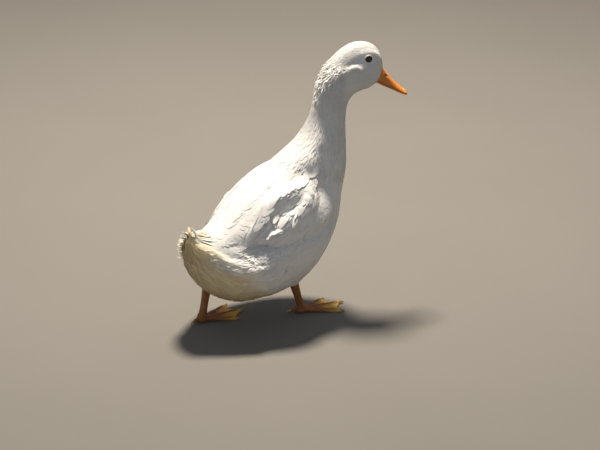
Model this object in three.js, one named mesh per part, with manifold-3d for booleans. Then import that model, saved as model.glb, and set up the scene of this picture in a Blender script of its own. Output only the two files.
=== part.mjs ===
// A life-size white Pekin duck in mid-step: right foot forward, left foot back, head turned a little to
// its right. Millimetres. +X is the way the trunk faces, +Y is the duck's left, +Z is up, and both soles
// rest on z = 0.
import * as THREE from 'three';
import { mergeVertices } from 'three/addons/utils/BufferGeometryUtils.js';
import Module from 'manifold-3d';

const wasm = await Module();
wasm.setup();

// ---- Driving dimensions ----
const GAP = 0.35; // clearance between pieces that meet
const HEAD_TURN = -24; // degrees the head is turned about the neck, to the duck's right
const NECK_AXIS_X = 160; // where that turning axis stands

// The body is lofted through upright sections from the vent to the root of the bill. Each has a point on
// the back line, a point on the underside, a half width, how far up its widest level lies, how square it
// is, and how much its upper flanks are pinched in towards the ridge of the back.
const SECTIONS = [
  { at: 'vent', back: [-121, 171], under: [-126, 149], half: 13, widest: 0.5, square: 2.0, pinch: 0.1 },
  { at: 'undertail', back: [-108, 170], under: [-119, 117], half: 36, widest: 0.5, square: 2.1, pinch: 0.2 },
  { at: 'bustle', back: [-90, 171], under: [-101, 80], half: 55.5, widest: 0.48, square: 2.15, pinch: 0.32 },
  { at: 'rump', back: [-65, 181], under: [-67, 52], half: 72, widest: 0.46, square: 2.2, pinch: 0.34 },
  { at: 'hips', back: [-36, 203], under: [-20, 42], half: 83, widest: 0.46, square: 2.2, pinch: 0.3 },
  { at: 'belly', back: [1, 230], under: [33, 45], half: 87, widest: 0.48, square: 2.2, pinch: 0.15 },
  { at: 'ribs', back: [40, 252], under: [83, 58], half: 84, widest: 0.49, square: 2.15, pinch: 0.08 },
  { at: 'shoulders', back: [74, 271], under: [123, 92], half: 77, widest: 0.49, square: 2.1, pinch: 0.08 },
  { at: 'breast', back: [96, 285], under: [153.5, 142], half: 65, widest: 0.48, square: 2.05, pinch: 0.05 },
  { at: 'crop', back: [111, 300], under: [172, 192], half: 53, widest: 0.48, square: 2.0, pinch: 0 },
  { at: 'neck_root', back: [121, 316], under: [181, 237], half: 41, widest: 0.48, square: 2.0, pinch: 0 },
  { at: 'neck', back: [128, 334], under: [184, 280], half: 31.5, widest: 0.48, square: 2.0, pinch: 0 },
  { at: 'neck_top', back: [134, 352], under: [185, 316], half: 27.5, widest: 0.5, square: 2.0, pinch: 0 },
  { at: 'nape', back: [140, 375], under: [189, 340], half: 27.5, widest: 0.5, square: 2.0, pinch: 0 },
  { at: 'occiput', back: [151, 400], under: [198, 354], half: 29, widest: 0.48, square: 2.05, pinch: 0 },
  { at: 'ears', back: [171, 426.5], under: [208, 360], half: 31.5, widest: 0.42, square: 2.05, pinch: 0.06 },
  { at: 'cheeks', back: [197, 441.5], under: [217, 362], half: 30.5, widest: 0.42, square: 2.0, pinch: 0.09 },
  { at: 'eyes', back: [221.5, 440.5], under: [223, 363.5], half: 27.5, widest: 0.44, square: 2.0, pinch: 0.09 },
  { at: 'forehead', back: [237, 430], under: [227.5, 366.5], half: 22.5, widest: 0.43, square: 2.0, pinch: 0.06 },
  { at: 'face', back: [244.5, 413.5], under: [232, 369.5], half: 17, widest: 0.42, square: 2.1, pinch: 0 },
  { at: 'bill_root', back: [246.5, 400], under: [234.5, 371.5], half: 12.5, widest: 0.4, square: 2.1, pinch: 0 },
];
const BODY_SIDES = 28;
const RINGS_PER_SECTION = { trunk: 2, neck: 2, head: 2.6 };

const PARTS = { trunk: ['vent', 'crop'], neck: ['crop', 'nape'], head: ['nape', 'bill_root'] };

// ---- Small helpers ----
const clamp01 = (v) => Math.min(1, Math.max(0, v));
const mix = (a, b, t) => a + (b - a) * t;
const smooth = (from, to, v) => {
  const t = clamp01((v - from) / (to - from));
  return t * t * (3 - 2 * t);
};
const rad = THREE.MathUtils.degToRad;

// A smooth line through rows of up to three numbers, read by row number.
function track(rows) {
  const knots = rows.map((r) => new THREE.Vector3(...r));
  const curve = new THREE.CatmullRomCurve3(knots, false, 'catmullrom', 0.5);
  return (row) => curve.getPoint(clamp01(row / (rows.length - 1)));
}

// A closed tube: rings of points from place(row, angle), with a flat cap on each end.
function tube(rows, sides, place) {
  const points = [];
  for (const row of rows) {
    for (let j = 0; j < sides; j++) points.push(place(row, (2 * Math.PI * j) / sides));
  }
  const faces = [];
  for (let i = 0; i + 1 < rows.length; i++) {
    for (let j = 0; j < sides; j++) {
      const [a, b] = [i * sides + j, i * sides + ((j + 1) % sides)];
      faces.push(a, b, b + sides, a, b + sides, a + sides);
    }
  }
  for (const [ring, flip] of [[0, true], [rows.length - 1, false]]) {
    const first = ring * sides;
    const middle = new THREE.Vector3();
    for (let j = 0; j < sides; j++) middle.addScaledVector(points[first + j], 1 / sides);
    points.push(middle);
    for (let j = 0; j < sides; j++) {
      const [a, b] = [first + j, first + ((j + 1) % sides)];
      faces.push(...(flip ? [points.length - 1, b, a] : [points.length - 1, a, b]));
    }
  }
  const geometry = new THREE.BufferGeometry().setFromPoints(points);
  geometry.setIndex(faces);
  return geometry;
}

const steps = (from, to, count) => Array.from({ length: count + 1 }, (_, i) => mix(from, to, i / count));

// A geometry as a manifold solid, turned the right way out, and a solid as a geometry again.
function solid(geometry) {
  const bare = geometry.clone();
  bare.deleteAttribute('normal');
  bare.deleteAttribute('uv');
  const merged = mergeVertices(bare, 1e-4);
  const triVerts = new Uint32Array(merged.index.array);
  const vertProperties = new Float32Array(merged.attributes.position.array);
  const make = () => new wasm.Manifold(new wasm.Mesh({ numProp: 3, vertProperties, triVerts }));
  const made = make();
  if (made.volume() >= 0) return made;
  for (let i = 0; i < triVerts.length; i += 3) {
    [triVerts[i + 1], triVerts[i + 2]] = [triVerts[i + 2], triVerts[i + 1]];
  }
  return make();
}

function geometryOf(made) {
  const mesh = made.getMesh();
  const geometry = new THREE.BufferGeometry();
  geometry.setAttribute('position', new THREE.BufferAttribute(new Float32Array(mesh.vertProperties), 3));
  geometry.setIndex(new THREE.BufferAttribute(new Uint32Array(mesh.triVerts), 1));
  return geometry;
}

// What is left of a solid once others are cut from it, and the biggest piece of a solid.
const without = (made, cutters) => cutters.reduce((left, cutter) => left.subtract(cutter), made);
const largest = (made) => made.decompose().sort((a, b) => b.volume() - a.volume())[0];

// ---- The body: trunk, neck and head ----
const rowOf = (name) => SECTIONS.findIndex((s) => s.at === name);
const backLine = track(SECTIONS.map((s) => [s.back[0], 0, s.back[1]]));
const underLine = track(SECTIONS.map((s) => [s.under[0], 0, s.under[1]]));
const widths = track(SECTIONS.map((s) => [s.half, s.widest, s.square]));
const pinches = track(SECTIONS.map((s) => [s.pinch, 0, 0]));

// Turns a point of the unturned body about the upright neck axis, more the nearer it is to the head.
function turned(point, row) {
  const angle = rad(HEAD_TURN) * smooth(rowOf('neck_root'), rowOf('ears'), row);
  point.x -= NECK_AXIS_X;
  return point.applyAxisAngle(new THREE.Vector3(0, 0, 1), angle).setX(point.x + NECK_AXIS_X);
}

// A point of the body's surface: angle 0 is the back line, +90 degrees the duck's left, lift is outwards.
function bodyPoint(row, angle, lift = 0) {
  const [back, under, shape] = [backLine(row), underLine(row), widths(row)];
  const height = back.distanceTo(under);
  const up = back.clone().sub(under).normalize();
  const [s, c] = [Math.sin(angle), Math.cos(angle)];
  const tall = height * (c >= 0 ? 1 - shape.y : shape.y);
  const round = 2 / shape.z;
  const waist = c > 0 ? 1 - pinches(row).x * (2 * s * c) ** 2 : 1;
  const side = (shape.x * waist + lift) * Math.sign(s) * Math.abs(s) ** round;
  const rise = (tall + lift) * Math.sign(c) * Math.abs(c) ** round;
  const point = under.clone().addScaledVector(up, height * shape.y + rise).setY(side);
  return turned(point, row);
}

function bodyPart(name, lift = 0) {
  const [fromName, toName] = PARTS[name];
  const trim = 0.035; // rows left open at a parting cut
  const from = rowOf(fromName) + (fromName === 'vent' ? 0 : trim);
  const to = rowOf(toName) - (toName === 'bill_root' ? 0 : trim);
  const count = Math.round((to - from) * RINGS_PER_SECTION[name]);
  return solid(tube(steps(from, to, count), BODY_SIDES, (row, angle) => bodyPoint(row, angle, lift)));
}

// ---- Wings: each lies on the trunk as a thick leaf, from the wrist to the tips over the rump ----
// row is the body section it lies over; upper and lower are its edges, in degrees down from the back line.
const WING = [
  { row: 7.7, upper: 58, lower: 67, thick: 1 },
  { row: 7.4, upper: 49, lower: 72, thick: 5.5 },
  { row: 6.75, upper: 40, lower: 74, thick: 9.5 },
  { row: 5.9, upper: 34, lower: 75, thick: 10 },
  { row: 5.0, upper: 31, lower: 73, thick: 8.5 },
  { row: 4.1, upper: 30, lower: 65, thick: 6.5 },
  { row: 3.3, upper: 31, lower: 55, thick: 4.5 },
  { row: 2.6, upper: 37, lower: 48, thick: 1 },
];
const WING_CLEAR = 0.9; // how far its inner face stands off the trunk
const WING_EDGE = 1.6; // how far its blunt edges stand off the trunk
const WING_SKEW = 1.4; // over 1 makes it fullest below its middle, where the flank feathers hold it
const WING_SIDES = 14;
const WING_RINGS = 15;

function wing(side) {
  const edges = track(WING.map((w) => [w.upper, w.lower, w.thick]));
  const rows = track(WING.map((w) => [w.row, 0, 0]));
  return solid(tube(steps(0, WING.length - 1, WING_RINGS), WING_SIDES, (step, angle) => {
    const edge = edges(step);
    const across = (1 - Math.cos(angle)) / 2;
    const inner = Math.sin(angle) < -0.01;
    const swell = Math.sin(Math.PI * across ** WING_SKEW);
    const lift = inner ? WING_CLEAR : WING_EDGE + edge.z * Math.max(0, swell);
    return bodyPoint(rows(step).x, side * rad(mix(edge.x, edge.y, across)), lift);
  }));
}

// ---- Tail: a short closed fan, cocked a little and arched across, thick with coverts at its root ----
const TAIL_ROOT = new THREE.Vector3(-64, 0, 160); // middle of the fan's root, inside the rump
const TAIL_TIP = new THREE.Vector3(-125, 0, 182); // middle feather's tip
const TAIL_ROOT_HALF = 40;
const TAIL_TIP_HALF = 17;
const TAIL_ARCH = [32, 15]; // how much lower the fan's edges lie than its middle, at the root and the tips
const TAIL_SWEEP = 15; // how much shorter the outermost feathers are than the middle ones
const TAIL_DIP = 18; // how deep the fan's root is sunk, so that it leaves the rump at a clear angle
const TAIL_FEATHERS = 7; // tips that show along the end of the fan
const TAIL_ACROSS = 21; // points across the fan, on each face

function tailPoint(along, angle) {
  const [across, upper] = [-Math.cos(angle), Math.sin(angle) >= 0];
  const length = TAIL_ROOT.distanceTo(TAIL_TIP);
  const scallop = 4 * along ** 4 * Math.abs(Math.sin(((across + 1) / 2) * Math.PI * TAIL_FEATHERS));
  const reach = along * (length - TAIL_SWEEP * across ** 2) - scallop;
  const thick = (upper ? mix(14, 2, along) : mix(26, 13, along)) * Math.sqrt(1 - across ** 2);
  const dip = TAIL_DIP * (1 - smooth(0, 0.45, along));
  const height = (upper ? thick : -thick) - mix(...TAIL_ARCH, along) * across ** 2 - dip;
  const out = TAIL_TIP.clone().sub(TAIL_ROOT).normalize();
  const up = new THREE.Vector3(out.z, 0, -out.x);
  const point = TAIL_ROOT.clone().addScaledVector(out, reach).addScaledVector(up, height);
  return point.setY(mix(TAIL_ROOT_HALF, TAIL_TIP_HALF, along ** 1.2) * across);
}

function tail(cutters) {
  const fan = solid(tube([0, 0.2, 0.45, 0.7, 0.88, 1], 2 * TAIL_ACROSS, tailPoint));
  return largest(without(fan, cutters));
}

// ---- Bill: upper and lower halves lofted from the face to the tip, and the nail at the tip ----
// Each section has a point on the ridge, one on the line where the halves meet, one on the chin, and a
// half width.
const BILL = [
  { ridge: [245.5, 399], gape: [234.6, 377.8], chin: [233.6, 372.2], half: 12.3 },
  { ridge: [252.5, 388], gape: [243.6, 372.9], chin: [241.4, 368.2], half: 11.2 },
  { ridge: [261, 377.5], gape: [253.8, 367.4], chin: [251.4, 362.9], half: 11.4 },
  { ridge: [269.8, 368.4], gape: [264, 361.9], chin: [261.7, 358.1], half: 12.8 },
  { ridge: [278.4, 360.4], gape: [274.2, 355.8], chin: [272.4, 352.8], half: 13.8 },
  { ridge: [285, 354.6], gape: [282.6, 351.2], chin: [281.1, 349.1], half: 12.2 },
  { ridge: [288.6, 350], gape: [287.4, 347.8], chin: [286.2, 346.4], half: 6 },
];
const BILL_SIDES = 14;
const BILL_RINGS = 11;
const HEAD_ROW = SECTIONS.length - 1; // the row that turns fully with the head
const onHead = (x, y, z) => turned(new THREE.Vector3(x, y, z), HEAD_ROW);

// One half of the bill: domed away from the gape and nearly flat along it.
function billHalf(far, dome, narrow) {
  const outer = track(BILL.map((s) => [s[far][0], 0, s[far][1]]));
  const inner = track(BILL.map((s) => [s.gape[0], 0, s.gape[1]]));
  const halves = track(BILL.map((s) => [s.half, 0, 0]));
  return solid(tube(steps(0, BILL.length - 1, BILL_RINGS), BILL_SIDES, (row, angle) => {
    const [a, b] = [outer(row), inner(row)];
    const height = a.distanceTo(b);
    const up = a.clone().sub(b).normalize();
    const [s, c] = [Math.sin(angle), Math.cos(angle)];
    const rise = GAP / 2 + (height - GAP / 2) * (c > 0 ? c ** dome : 0.02 * c);
    const point = b.addScaledVector(up, Math.max(rise, GAP / 2));
    return onHead(point.x, halves(row).x * narrow * s, point.z);
  }));
}

// Nostrils: an oval pit high on each side near the face. The nail: a small horny plate on the tip.
const NOSTRIL_AT = { x: 253.5, y: 10, z: 382.5 };
const NAIL_AT = { x: 286, y: 0, z: 354 };
const NAIL_SIZE = [8.5, 5.2, 6];

function ball(at, radius, stretch = [1, 1, 1]) {
  return new THREE.SphereGeometry(radius, 12, 8).scale(...stretch).translate(at.x, at.y, at.z);
}

const nostrilAt = (side) => onHead(NOSTRIL_AT.x, side * NOSTRIL_AT.y, NOSTRIL_AT.z);
const nostril = (side) => solid(ball(nostrilAt(side), 2.2, [1.3, 1, 1]));
const nailRegion = (grow) => solid(ball(onHead(NAIL_AT.x, 0, NAIL_AT.z), 1, NAIL_SIZE.map((v) => v + grow)));

// ---- Eyes: balls sunk in the head so that a round of each shows ----
const EYE_AT = { x: 217.2, y: 18.6, z: 418.6 };
const EYE_RADIUS = 7;
const EYE_SOCKET = EYE_RADIUS + GAP;
const eyeball = (side, radius) => solid(ball(onHead(EYE_AT.x, side * EYE_AT.y, EYE_AT.z), radius));

// ---- Legs: a feathered cuff under the belly, a bare shank down to the ankle, and a webbed foot ----
// heading is where the middle toe points, in degrees to the duck's left of straight ahead.
const LEGS = {
  left: { side: 1, ankle: [-75, 33], hock: [-60, 38, 66], heading: -4 },
  right: { side: -1, ankle: [77, -33], hock: [55, -40, 68], heading: -9 },
};
const ANKLE_HEIGHT = 13;
const SHANK_RADII = [7.6, 6.4, 6.6, 7.6, 8.8]; // from the ankle up to the hock
const CUFF_RADII = [9.5, 12.5, 16.5, 21];
const CUFF_DROP = 8; // how far down the shank the cuff's feathers reach
// Toes, seen from above: how far each is spread from the middle one, outwards positive, and how long it is.
const TOES = [
  { name: 'inner', spread: -25, length: 58 },
  { name: 'middle', spread: 0, length: 75 },
  { name: 'outer', spread: 26, length: 68 },
];
const TOE_RADII = [5.4, 4.2, 4.6, 3.5, 3.8, 2.6]; // swelling at each joint
const TOE_SIDES = 8;
const WEB_THICK = 2.4;
const WEB_SCOOP = 0.1; // how far the web's front edge is drawn in between two toes
const CLAW_LENGTH = 9;

const legPoint = (leg, x, y, z) => {
  const at = new THREE.Vector3(x, y, 0).applyAxisAngle(new THREE.Vector3(0, 0, 1), rad(leg.heading));
  return new THREE.Vector3(leg.ankle[0] + at.x, leg.ankle[1] + at.y, z);
};
const toeWay = (leg, toe) => rad(leg.side * toe.spread);

// A round bar through a list of centres and radii.
function bar(centres, radii, sides, rings) {
  const line = track(centres.map((p) => [p.x, p.y, p.z]));
  const size = track(radii.map((r) => [r, 0, 0]));
  const last = centres.length - 1;
  const way = centres[last].clone().sub(centres[0]).normalize();
  const across = new THREE.Vector3().crossVectors(way, new THREE.Vector3(0, 0, 1));
  if (across.length() < 0.3) across.set(0, 1, 0);
  across.normalize();
  const over = new THREE.Vector3().crossVectors(across, way).normalize();
  return solid(tube(steps(0, 1, rings), sides, (t, angle) => {
    const radius = size(t * (radii.length - 1)).x;
    return line(t * last)
      .addScaledVector(across, radius * Math.cos(angle))
      .addScaledVector(over, radius * Math.sin(angle));
  }));
}

const toeTip = (leg, toe, out = 0) => {
  const way = toeWay(leg, toe);
  return [(toe.length + out) * Math.cos(way), (toe.length + out) * Math.sin(way)];
};

function foot(leg) {
  const parts = TOES.map((toe) => {
    const [x, y] = toeTip(leg, toe);
    const centres = [legPoint(leg, 0, 0, 6), legPoint(leg, x * 0.5, y * 0.5, 3.6), legPoint(leg, x, y, 2.2)];
    return bar(centres, TOE_RADII, TOE_SIDES, 5);
  });
  const rim = [];
  const spreads = TOES.map((toe) => toe.spread);
  for (let i = 0; i + 1 < TOES.length; i++) {
    for (const t of steps(0, 1, 4).slice(i === 0 ? 0 : 1)) {
      const reach = mix(TOES[i].length, TOES[i + 1].length, t) * (1 - WEB_SCOOP * Math.sin(Math.PI * t)) - 2.5;
      const way = toeWay(leg, { spread: mix(spreads[i], spreads[i + 1], t) });
      rim.push([reach * Math.cos(way), reach * Math.sin(way)]);
    }
  }
  rim.push([-3, 0]);
  const sheet = tube([0.4, 1, 2], rim.length, (row, angle) => {
    const [x, y] = rim[Math.round((angle / (2 * Math.PI)) * rim.length) % rim.length];
    const scale = Math.min(row, 1);
    return legPoint(leg, x * scale, y * scale, row > 1 ? 0 : mix(4.5, WEB_THICK, scale));
  });
  parts.push(solid(sheet));
  const ankle = bar([legPoint(leg, -2, 0, 2), legPoint(leg, 0, 0, ANKLE_HEIGHT + 3)], [8.6, 8.2, 7.6], 10, 2);
  parts.push(ankle.trimByPlane([0, 0, -1], -ANKLE_HEIGHT));
  const back = legPoint(leg, -19, -leg.side * 3, 4.5);
  parts.push(bar([legPoint(leg, -3, 0, 9), back], [4.2, 3.2, 2.6], TOE_SIDES, 2));
  return wasm.Manifold.union(parts).trimByPlane([0, 0, 1], 0);
}

function claw(leg, toe, grow = 0) {
  const from = toe ? toeTip(leg, toe, -4) : [-16, -leg.side * 2.6];
  const mid = toe ? toeTip(leg, toe, 2) : [-20.5, -leg.side * 3.2];
  const to = toe ? toeTip(leg, toe, CLAW_LENGTH - 4) : [-24.5, -leg.side * 3.8];
  const heights = toe ? [3.4, 3.2, 1.5] : [6, 5.2, 3];
  const centres = [from, mid, to].map(([x, y], i) => legPoint(leg, x, y, heights[i]));
  return bar(centres, [1.9 + grow, 1.7 + grow, 0.5 + grow], 6, 3).trimByPlane([0, 0, 1], 0);
}

function shank(leg, grow = 0) {
  const ankle = legPoint(leg, 0, 0, ANKLE_HEIGHT - 3);
  const hock = new THREE.Vector3(...leg.hock);
  return bar([ankle, hock], SHANK_RADII.map((r) => r + grow), 10, 5).trimByPlane([0, 0, 1], ANKLE_HEIGHT + GAP);
}

function cuff(leg, cutters) {
  const hock = new THREE.Vector3(...leg.hock);
  const ankle = legPoint(leg, 0, 0, ANKLE_HEIGHT);
  const down = ankle.clone().sub(hock).normalize();
  const low = hock.clone().addScaledVector(down, CUFF_DROP);
  const high = hock.clone().addScaledVector(down, -12);
  return largest(without(bar([low, high], CUFF_RADII, 14, 4), cutters));
}

// ---- Assembly ----
const COLOURS = {
  plumage: { color: 0xf7f4ec, roughness: 0.75, metalness: 0 },
  cream: { color: 0xefe4c4, roughness: 0.75, metalness: 0 },
  bill: { color: 0xe08a2c, roughness: 0.45, metalness: 0 },
  nail: { color: 0xe6c79a, roughness: 0.4, metalness: 0 },
  leg: { color: 0xd9772a, roughness: 0.55, metalness: 0 },
  claw: { color: 0xd9c9a6, roughness: 0.4, metalness: 0 },
  eye: { color: 0x14110f, roughness: 0.08, metalness: 0 },
};

const duck = new THREE.Group();
duck.name = 'duck';

function add(name, made, colour) {
  const mesh = new THREE.Mesh(geometryOf(made), new THREE.MeshStandardMaterial(COLOURS[colour]));
  mesh.name = name;
  duck.add(mesh);
}

const trunkCutter = bodyPart('trunk', GAP);
add('trunk', bodyPart('trunk'), 'plumage');
add('neck', bodyPart('neck'), 'plumage');
const headWhole = bodyPart('head');
add('head', without(headWhole, [eyeball(1, EYE_SOCKET), eyeball(-1, EYE_SOCKET)]), 'plumage');
add('eye_left', eyeball(1, EYE_RADIUS), 'eye');
add('eye_right', eyeball(-1, EYE_RADIUS), 'eye');
const headCutter = bodyPart('head', GAP);
const upper = billHalf('ridge', 0.75, 1).subtract(headCutter);
add('bill_upper', without(upper, [nostril(1), nostril(-1), nailRegion(GAP)]), 'bill');
add('bill_nail', upper.intersect(nailRegion(0)), 'nail');
add('bill_lower', billHalf('chin', 0.6, 0.9).subtract(headCutter), 'bill');
add('wing_left', wing(1), 'plumage');
add('wing_right', wing(-1), 'plumage');
add('tail', tail([trunkCutter]), 'cream');
for (const [side, leg] of Object.entries(LEGS)) {
  add(`thigh_${side}`, cuff(leg, [trunkCutter, shank(leg, GAP)]), 'plumage');
  add(`shank_${side}`, shank(leg).subtract(trunkCutter), 'leg');
  const claws = [...TOES, null].map((toe) => [toe ? toe.name : 'back', claw(leg, toe), claw(leg, toe, GAP)]);
  add(`foot_${side}`, without(foot(leg), claws.map((c) => c[2])), 'leg');
  for (const [name, made] of claws) add(`claw_${side}_${name}`, made, 'claw');
}

// The frame: the origin is the middle of the bounding box's foot, on the floor.
const box = new THREE.Box3().setFromObject(duck);
const middle = box.getCenter(new THREE.Vector3());
for (const mesh of duck.children) mesh.geometry.translate(-middle.x, -middle.y, -box.min.z);

export default duck;
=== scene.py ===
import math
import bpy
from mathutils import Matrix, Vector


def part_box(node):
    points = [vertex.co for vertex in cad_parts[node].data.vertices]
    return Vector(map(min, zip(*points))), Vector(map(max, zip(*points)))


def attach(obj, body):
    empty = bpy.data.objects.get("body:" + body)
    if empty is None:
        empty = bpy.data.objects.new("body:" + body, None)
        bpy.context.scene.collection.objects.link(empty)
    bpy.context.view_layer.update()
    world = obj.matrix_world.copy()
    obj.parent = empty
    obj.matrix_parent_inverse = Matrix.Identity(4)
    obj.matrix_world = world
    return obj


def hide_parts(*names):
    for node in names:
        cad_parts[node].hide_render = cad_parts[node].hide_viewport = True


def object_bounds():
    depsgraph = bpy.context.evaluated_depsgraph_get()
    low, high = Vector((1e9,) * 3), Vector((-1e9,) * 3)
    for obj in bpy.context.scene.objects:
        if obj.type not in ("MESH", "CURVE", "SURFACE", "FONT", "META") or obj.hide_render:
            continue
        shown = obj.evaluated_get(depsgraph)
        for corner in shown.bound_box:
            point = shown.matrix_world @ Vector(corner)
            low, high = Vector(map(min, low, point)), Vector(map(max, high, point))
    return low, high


bl_info = {
    "name": "White duck",
    "version": (1, 0, 0),
    "blender": (4, 5, 0),
    "location": "3D View > Sidebar > Duck",
    "description": "A standing white duck with its skin, feathers, eyes, bill, legs and a plain studio",
    "category": "Add Mesh",
}

import bpy
import numpy as np
from mathutils import Matrix, Vector, noise
from mathutils.bvhtree import BVHTree
from mathutils.kdtree import KDTree

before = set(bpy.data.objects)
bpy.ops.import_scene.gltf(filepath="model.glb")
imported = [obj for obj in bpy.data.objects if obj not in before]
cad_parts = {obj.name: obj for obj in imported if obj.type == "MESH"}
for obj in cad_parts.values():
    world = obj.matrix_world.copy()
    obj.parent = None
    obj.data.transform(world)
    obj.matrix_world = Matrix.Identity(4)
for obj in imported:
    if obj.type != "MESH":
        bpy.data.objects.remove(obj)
CAD_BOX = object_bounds()

MM = 0.001

# The head is turned about the upright line through the neck, towards the duck's right.
HEAD_TURN = math.radians(-24)
NECK_AXIS_X = 83.4

# The line through the body from the bill's base to the tail's tip, as x and z in mm: the head's part,
# before it is turned, and the rest.
HEAD_LINE = ((167, 385), (150, 396), (128, 400), (104, 392), (88, 368))
TRUNK_LINE = (
    (80, 335), (75, 300), (68, 262), (40, 205), (-20, 150), (-80, 128), (-130, 130), (-165, 150), (-200, 178)
)

EYES = ("eye_left", "eye_right")
# Which way is outwards on each side, along Y.
SIDES = {"left": 1, "right": -1}
TOES = ("inner", "middle", "outer", "back")


# ---------------------------------------------------------------- small tools


def linear(hex_colour):
    """A linear RGBA colour from an sRGB hex value."""
    parts = [int(hex_colour[i : i + 2], 16) / 255 for i in (1, 3, 5)]
    return tuple(c / 12.92 if c <= 0.04045 else ((c + 0.055) / 1.055) ** 2.4 for c in parts) + (1.0,)


def deselect():
    """Leaves object mode with nothing selected."""
    if bpy.context.object and bpy.context.object.mode != "OBJECT":
        bpy.ops.object.mode_set(mode="OBJECT")
    bpy.ops.object.select_all(action="DESELECT")


def take(*objects):
    """Selects these objects only and makes the first one active."""
    deselect()
    for ob in objects:
        ob.select_set(True)
    bpy.context.view_layer.objects.active = objects[0]
    return objects[0]


class EditMode:
    """Edit mode of the active object, for a with block."""

    def __enter__(self):
        bpy.ops.object.mode_set(mode="EDIT")

    def __exit__(self, *problem):
        bpy.ops.object.mode_set(mode="OBJECT")


def select_points(ob, chosen):
    """Selects these vertices of an object and nothing else."""
    take(ob)
    with EditMode():
        bpy.ops.mesh.select_mode(type="VERT")
        bpy.ops.mesh.select_all(action="DESELECT")
    ob.data.vertices.foreach_set("select", chosen)


def divide(ob, chosen, cuts):
    """Divides the faces between these vertices and makes triangles of the whole mesh."""
    select_points(ob, chosen)
    with EditMode():
        bpy.ops.mesh.select_mode(type="FACE")
        bpy.ops.mesh.subdivide(number_cuts=cuts, smoothness=0.0)
        bpy.ops.mesh.select_all(action="SELECT")
        bpy.ops.mesh.quads_convert_to_tris()


def apply_modifier(ob, kind, **settings):
    """Adds a modifier with its settings and applies it."""
    take(ob)
    modifier = ob.modifiers.new(kind.title(), kind)
    for key, value in settings.items():
        setattr(modifier, key, value)
    bpy.ops.object.modifier_apply(modifier=modifier.name)


def merged_copy(node):
    """A copy of a CAD node's mesh as an object of its own, its loose triangles joined up."""
    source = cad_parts[node]
    ob = bpy.data.objects.new("copy_" + node, source.data.copy())
    bpy.context.scene.collection.objects.link(ob)
    ob.data.materials.clear()
    take(ob)
    with EditMode():
        bpy.ops.mesh.select_all(action="SELECT")
        bpy.ops.mesh.remove_doubles(threshold=0.01 * MM)
    return ob


def join(name, objects):
    """Joins objects into the first one and renames it."""
    ob = take(*objects)
    if len(objects) > 1:
        bpy.ops.object.join()
    ob.name = ob.data.name = name
    return ob


def grown_shell(name, nodes, growth, voxel, smoothing):
    """One closed smooth shell over CAD nodes: copies grown a little to close the cuts, then remeshed."""
    copies = [merged_copy(n) for n in nodes]
    for ob in copies:
        apply_modifier(ob, "DISPLACE", strength=growth, mid_level=0.0)
    ob = join(name, copies)
    apply_modifier(ob, "REMESH", mode="VOXEL", voxel_size=voxel, adaptivity=0.0)
    apply_modifier(ob, "SMOOTH", factor=0.5, iterations=smoothing)
    take(ob)
    with EditMode():
        bpy.ops.mesh.select_all(action="SELECT")
        bpy.ops.mesh.quads_convert_to_tris()
    bpy.ops.object.shade_smooth()
    return ob


def points(me):
    """A mesh's vertices, one in each row."""
    co = np.empty(len(me.vertices) * 3, np.float32)
    me.vertices.foreach_get("co", co)
    return co.reshape(-1, 3).astype(float)


def set_points(me, co):
    """Moves a mesh's vertices."""
    me.vertices.foreach_set("co", np.ascontiguousarray(co, np.float32).ravel())
    me.update()


def triangles(me):
    """A mesh's triangles as the numbers of their corners."""
    me.calc_loop_triangles()
    tris = np.empty(len(me.loop_triangles) * 3, np.int32)
    me.loop_triangles.foreach_get("vertices", tris)
    return tris.reshape(-1, 3)


def store(me, name, values):
    """Stores a value for each vertex, for a material to read."""
    me.attributes.new(name, "FLOAT", "POINT").data.foreach_set("value", values.astype(np.float32))


def unit(v):
    """Vectors of length 1."""
    return v / np.maximum(np.linalg.norm(v, axis=-1, keepdims=True), 1e-12)


def dot(a, b):
    """Dot products, kept as a column."""
    return (a * b).sum(-1, keepdims=True)


def smoothstep(low, high, x):
    """0 at low and 1 at high, easing in and out."""
    t = np.clip((x - low) / (high - low), 0, 1)
    return t * t * (3 - 2 * t)


def vertex_normals(co, tris):
    """The direction that the surface faces at each vertex."""
    n = np.cross(co[tris[:, 1]] - co[tris[:, 0]], co[tris[:, 2]] - co[tris[:, 0]])
    out = np.zeros_like(co)
    for k in range(3):
        np.add.at(out, tris[:, k], n)
    return unit(out)


def spread(values, tris, rounds):
    """Averages a value over each vertex's neighbours, a number of times."""
    edges = np.sort(np.concatenate([tris[:, [0, 1]], tris[:, [1, 2]], tris[:, [2, 0]]]), 1)
    start, end = np.unique(edges, axis=0).T
    flat = values.reshape(len(values), -1)
    count = np.bincount(np.concatenate([start, end]), minlength=len(flat)).astype(float)[:, None]
    for _ in range(rounds):
        total = np.column_stack(
            [np.bincount(start, v[end], len(flat)) + np.bincount(end, v[start], len(flat)) for v in flat.T]
        )
        flat = 0.5 * flat + 0.5 * total / np.maximum(count, 1)
    return flat.reshape(values.shape)


def head_place(x, y, z):
    """A place on the head in metres, from mm before the head is turned."""
    p = Vector((x - NECK_AXIS_X, y, 0))
    p.rotate(Matrix.Rotation(HEAD_TURN, 3, "Z"))
    return np.array(Vector((p.x + NECK_AXIS_X, p.y, z)) * MM)


def head_way(x, y, z):
    """A direction on the head, turned with it."""
    return np.array((Matrix.Rotation(HEAD_TURN, 3, "Z") @ Vector((x, y, z))).normalized())


def unturned(p):
    """Points of the head before it is turned, in mm."""
    x, y = p[:, 0] / MM - NECK_AXIS_X, p[:, 1] / MM
    c, s = math.cos(-HEAD_TURN), math.sin(-HEAD_TURN)
    return np.column_stack([x * c - y * s + NECK_AXIS_X, x * s + y * c, p[:, 2] / MM])


def node_centre(node):
    """The middle of a CAD node's box."""
    low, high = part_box(node)
    return np.array((low + high) / 2)


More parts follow.
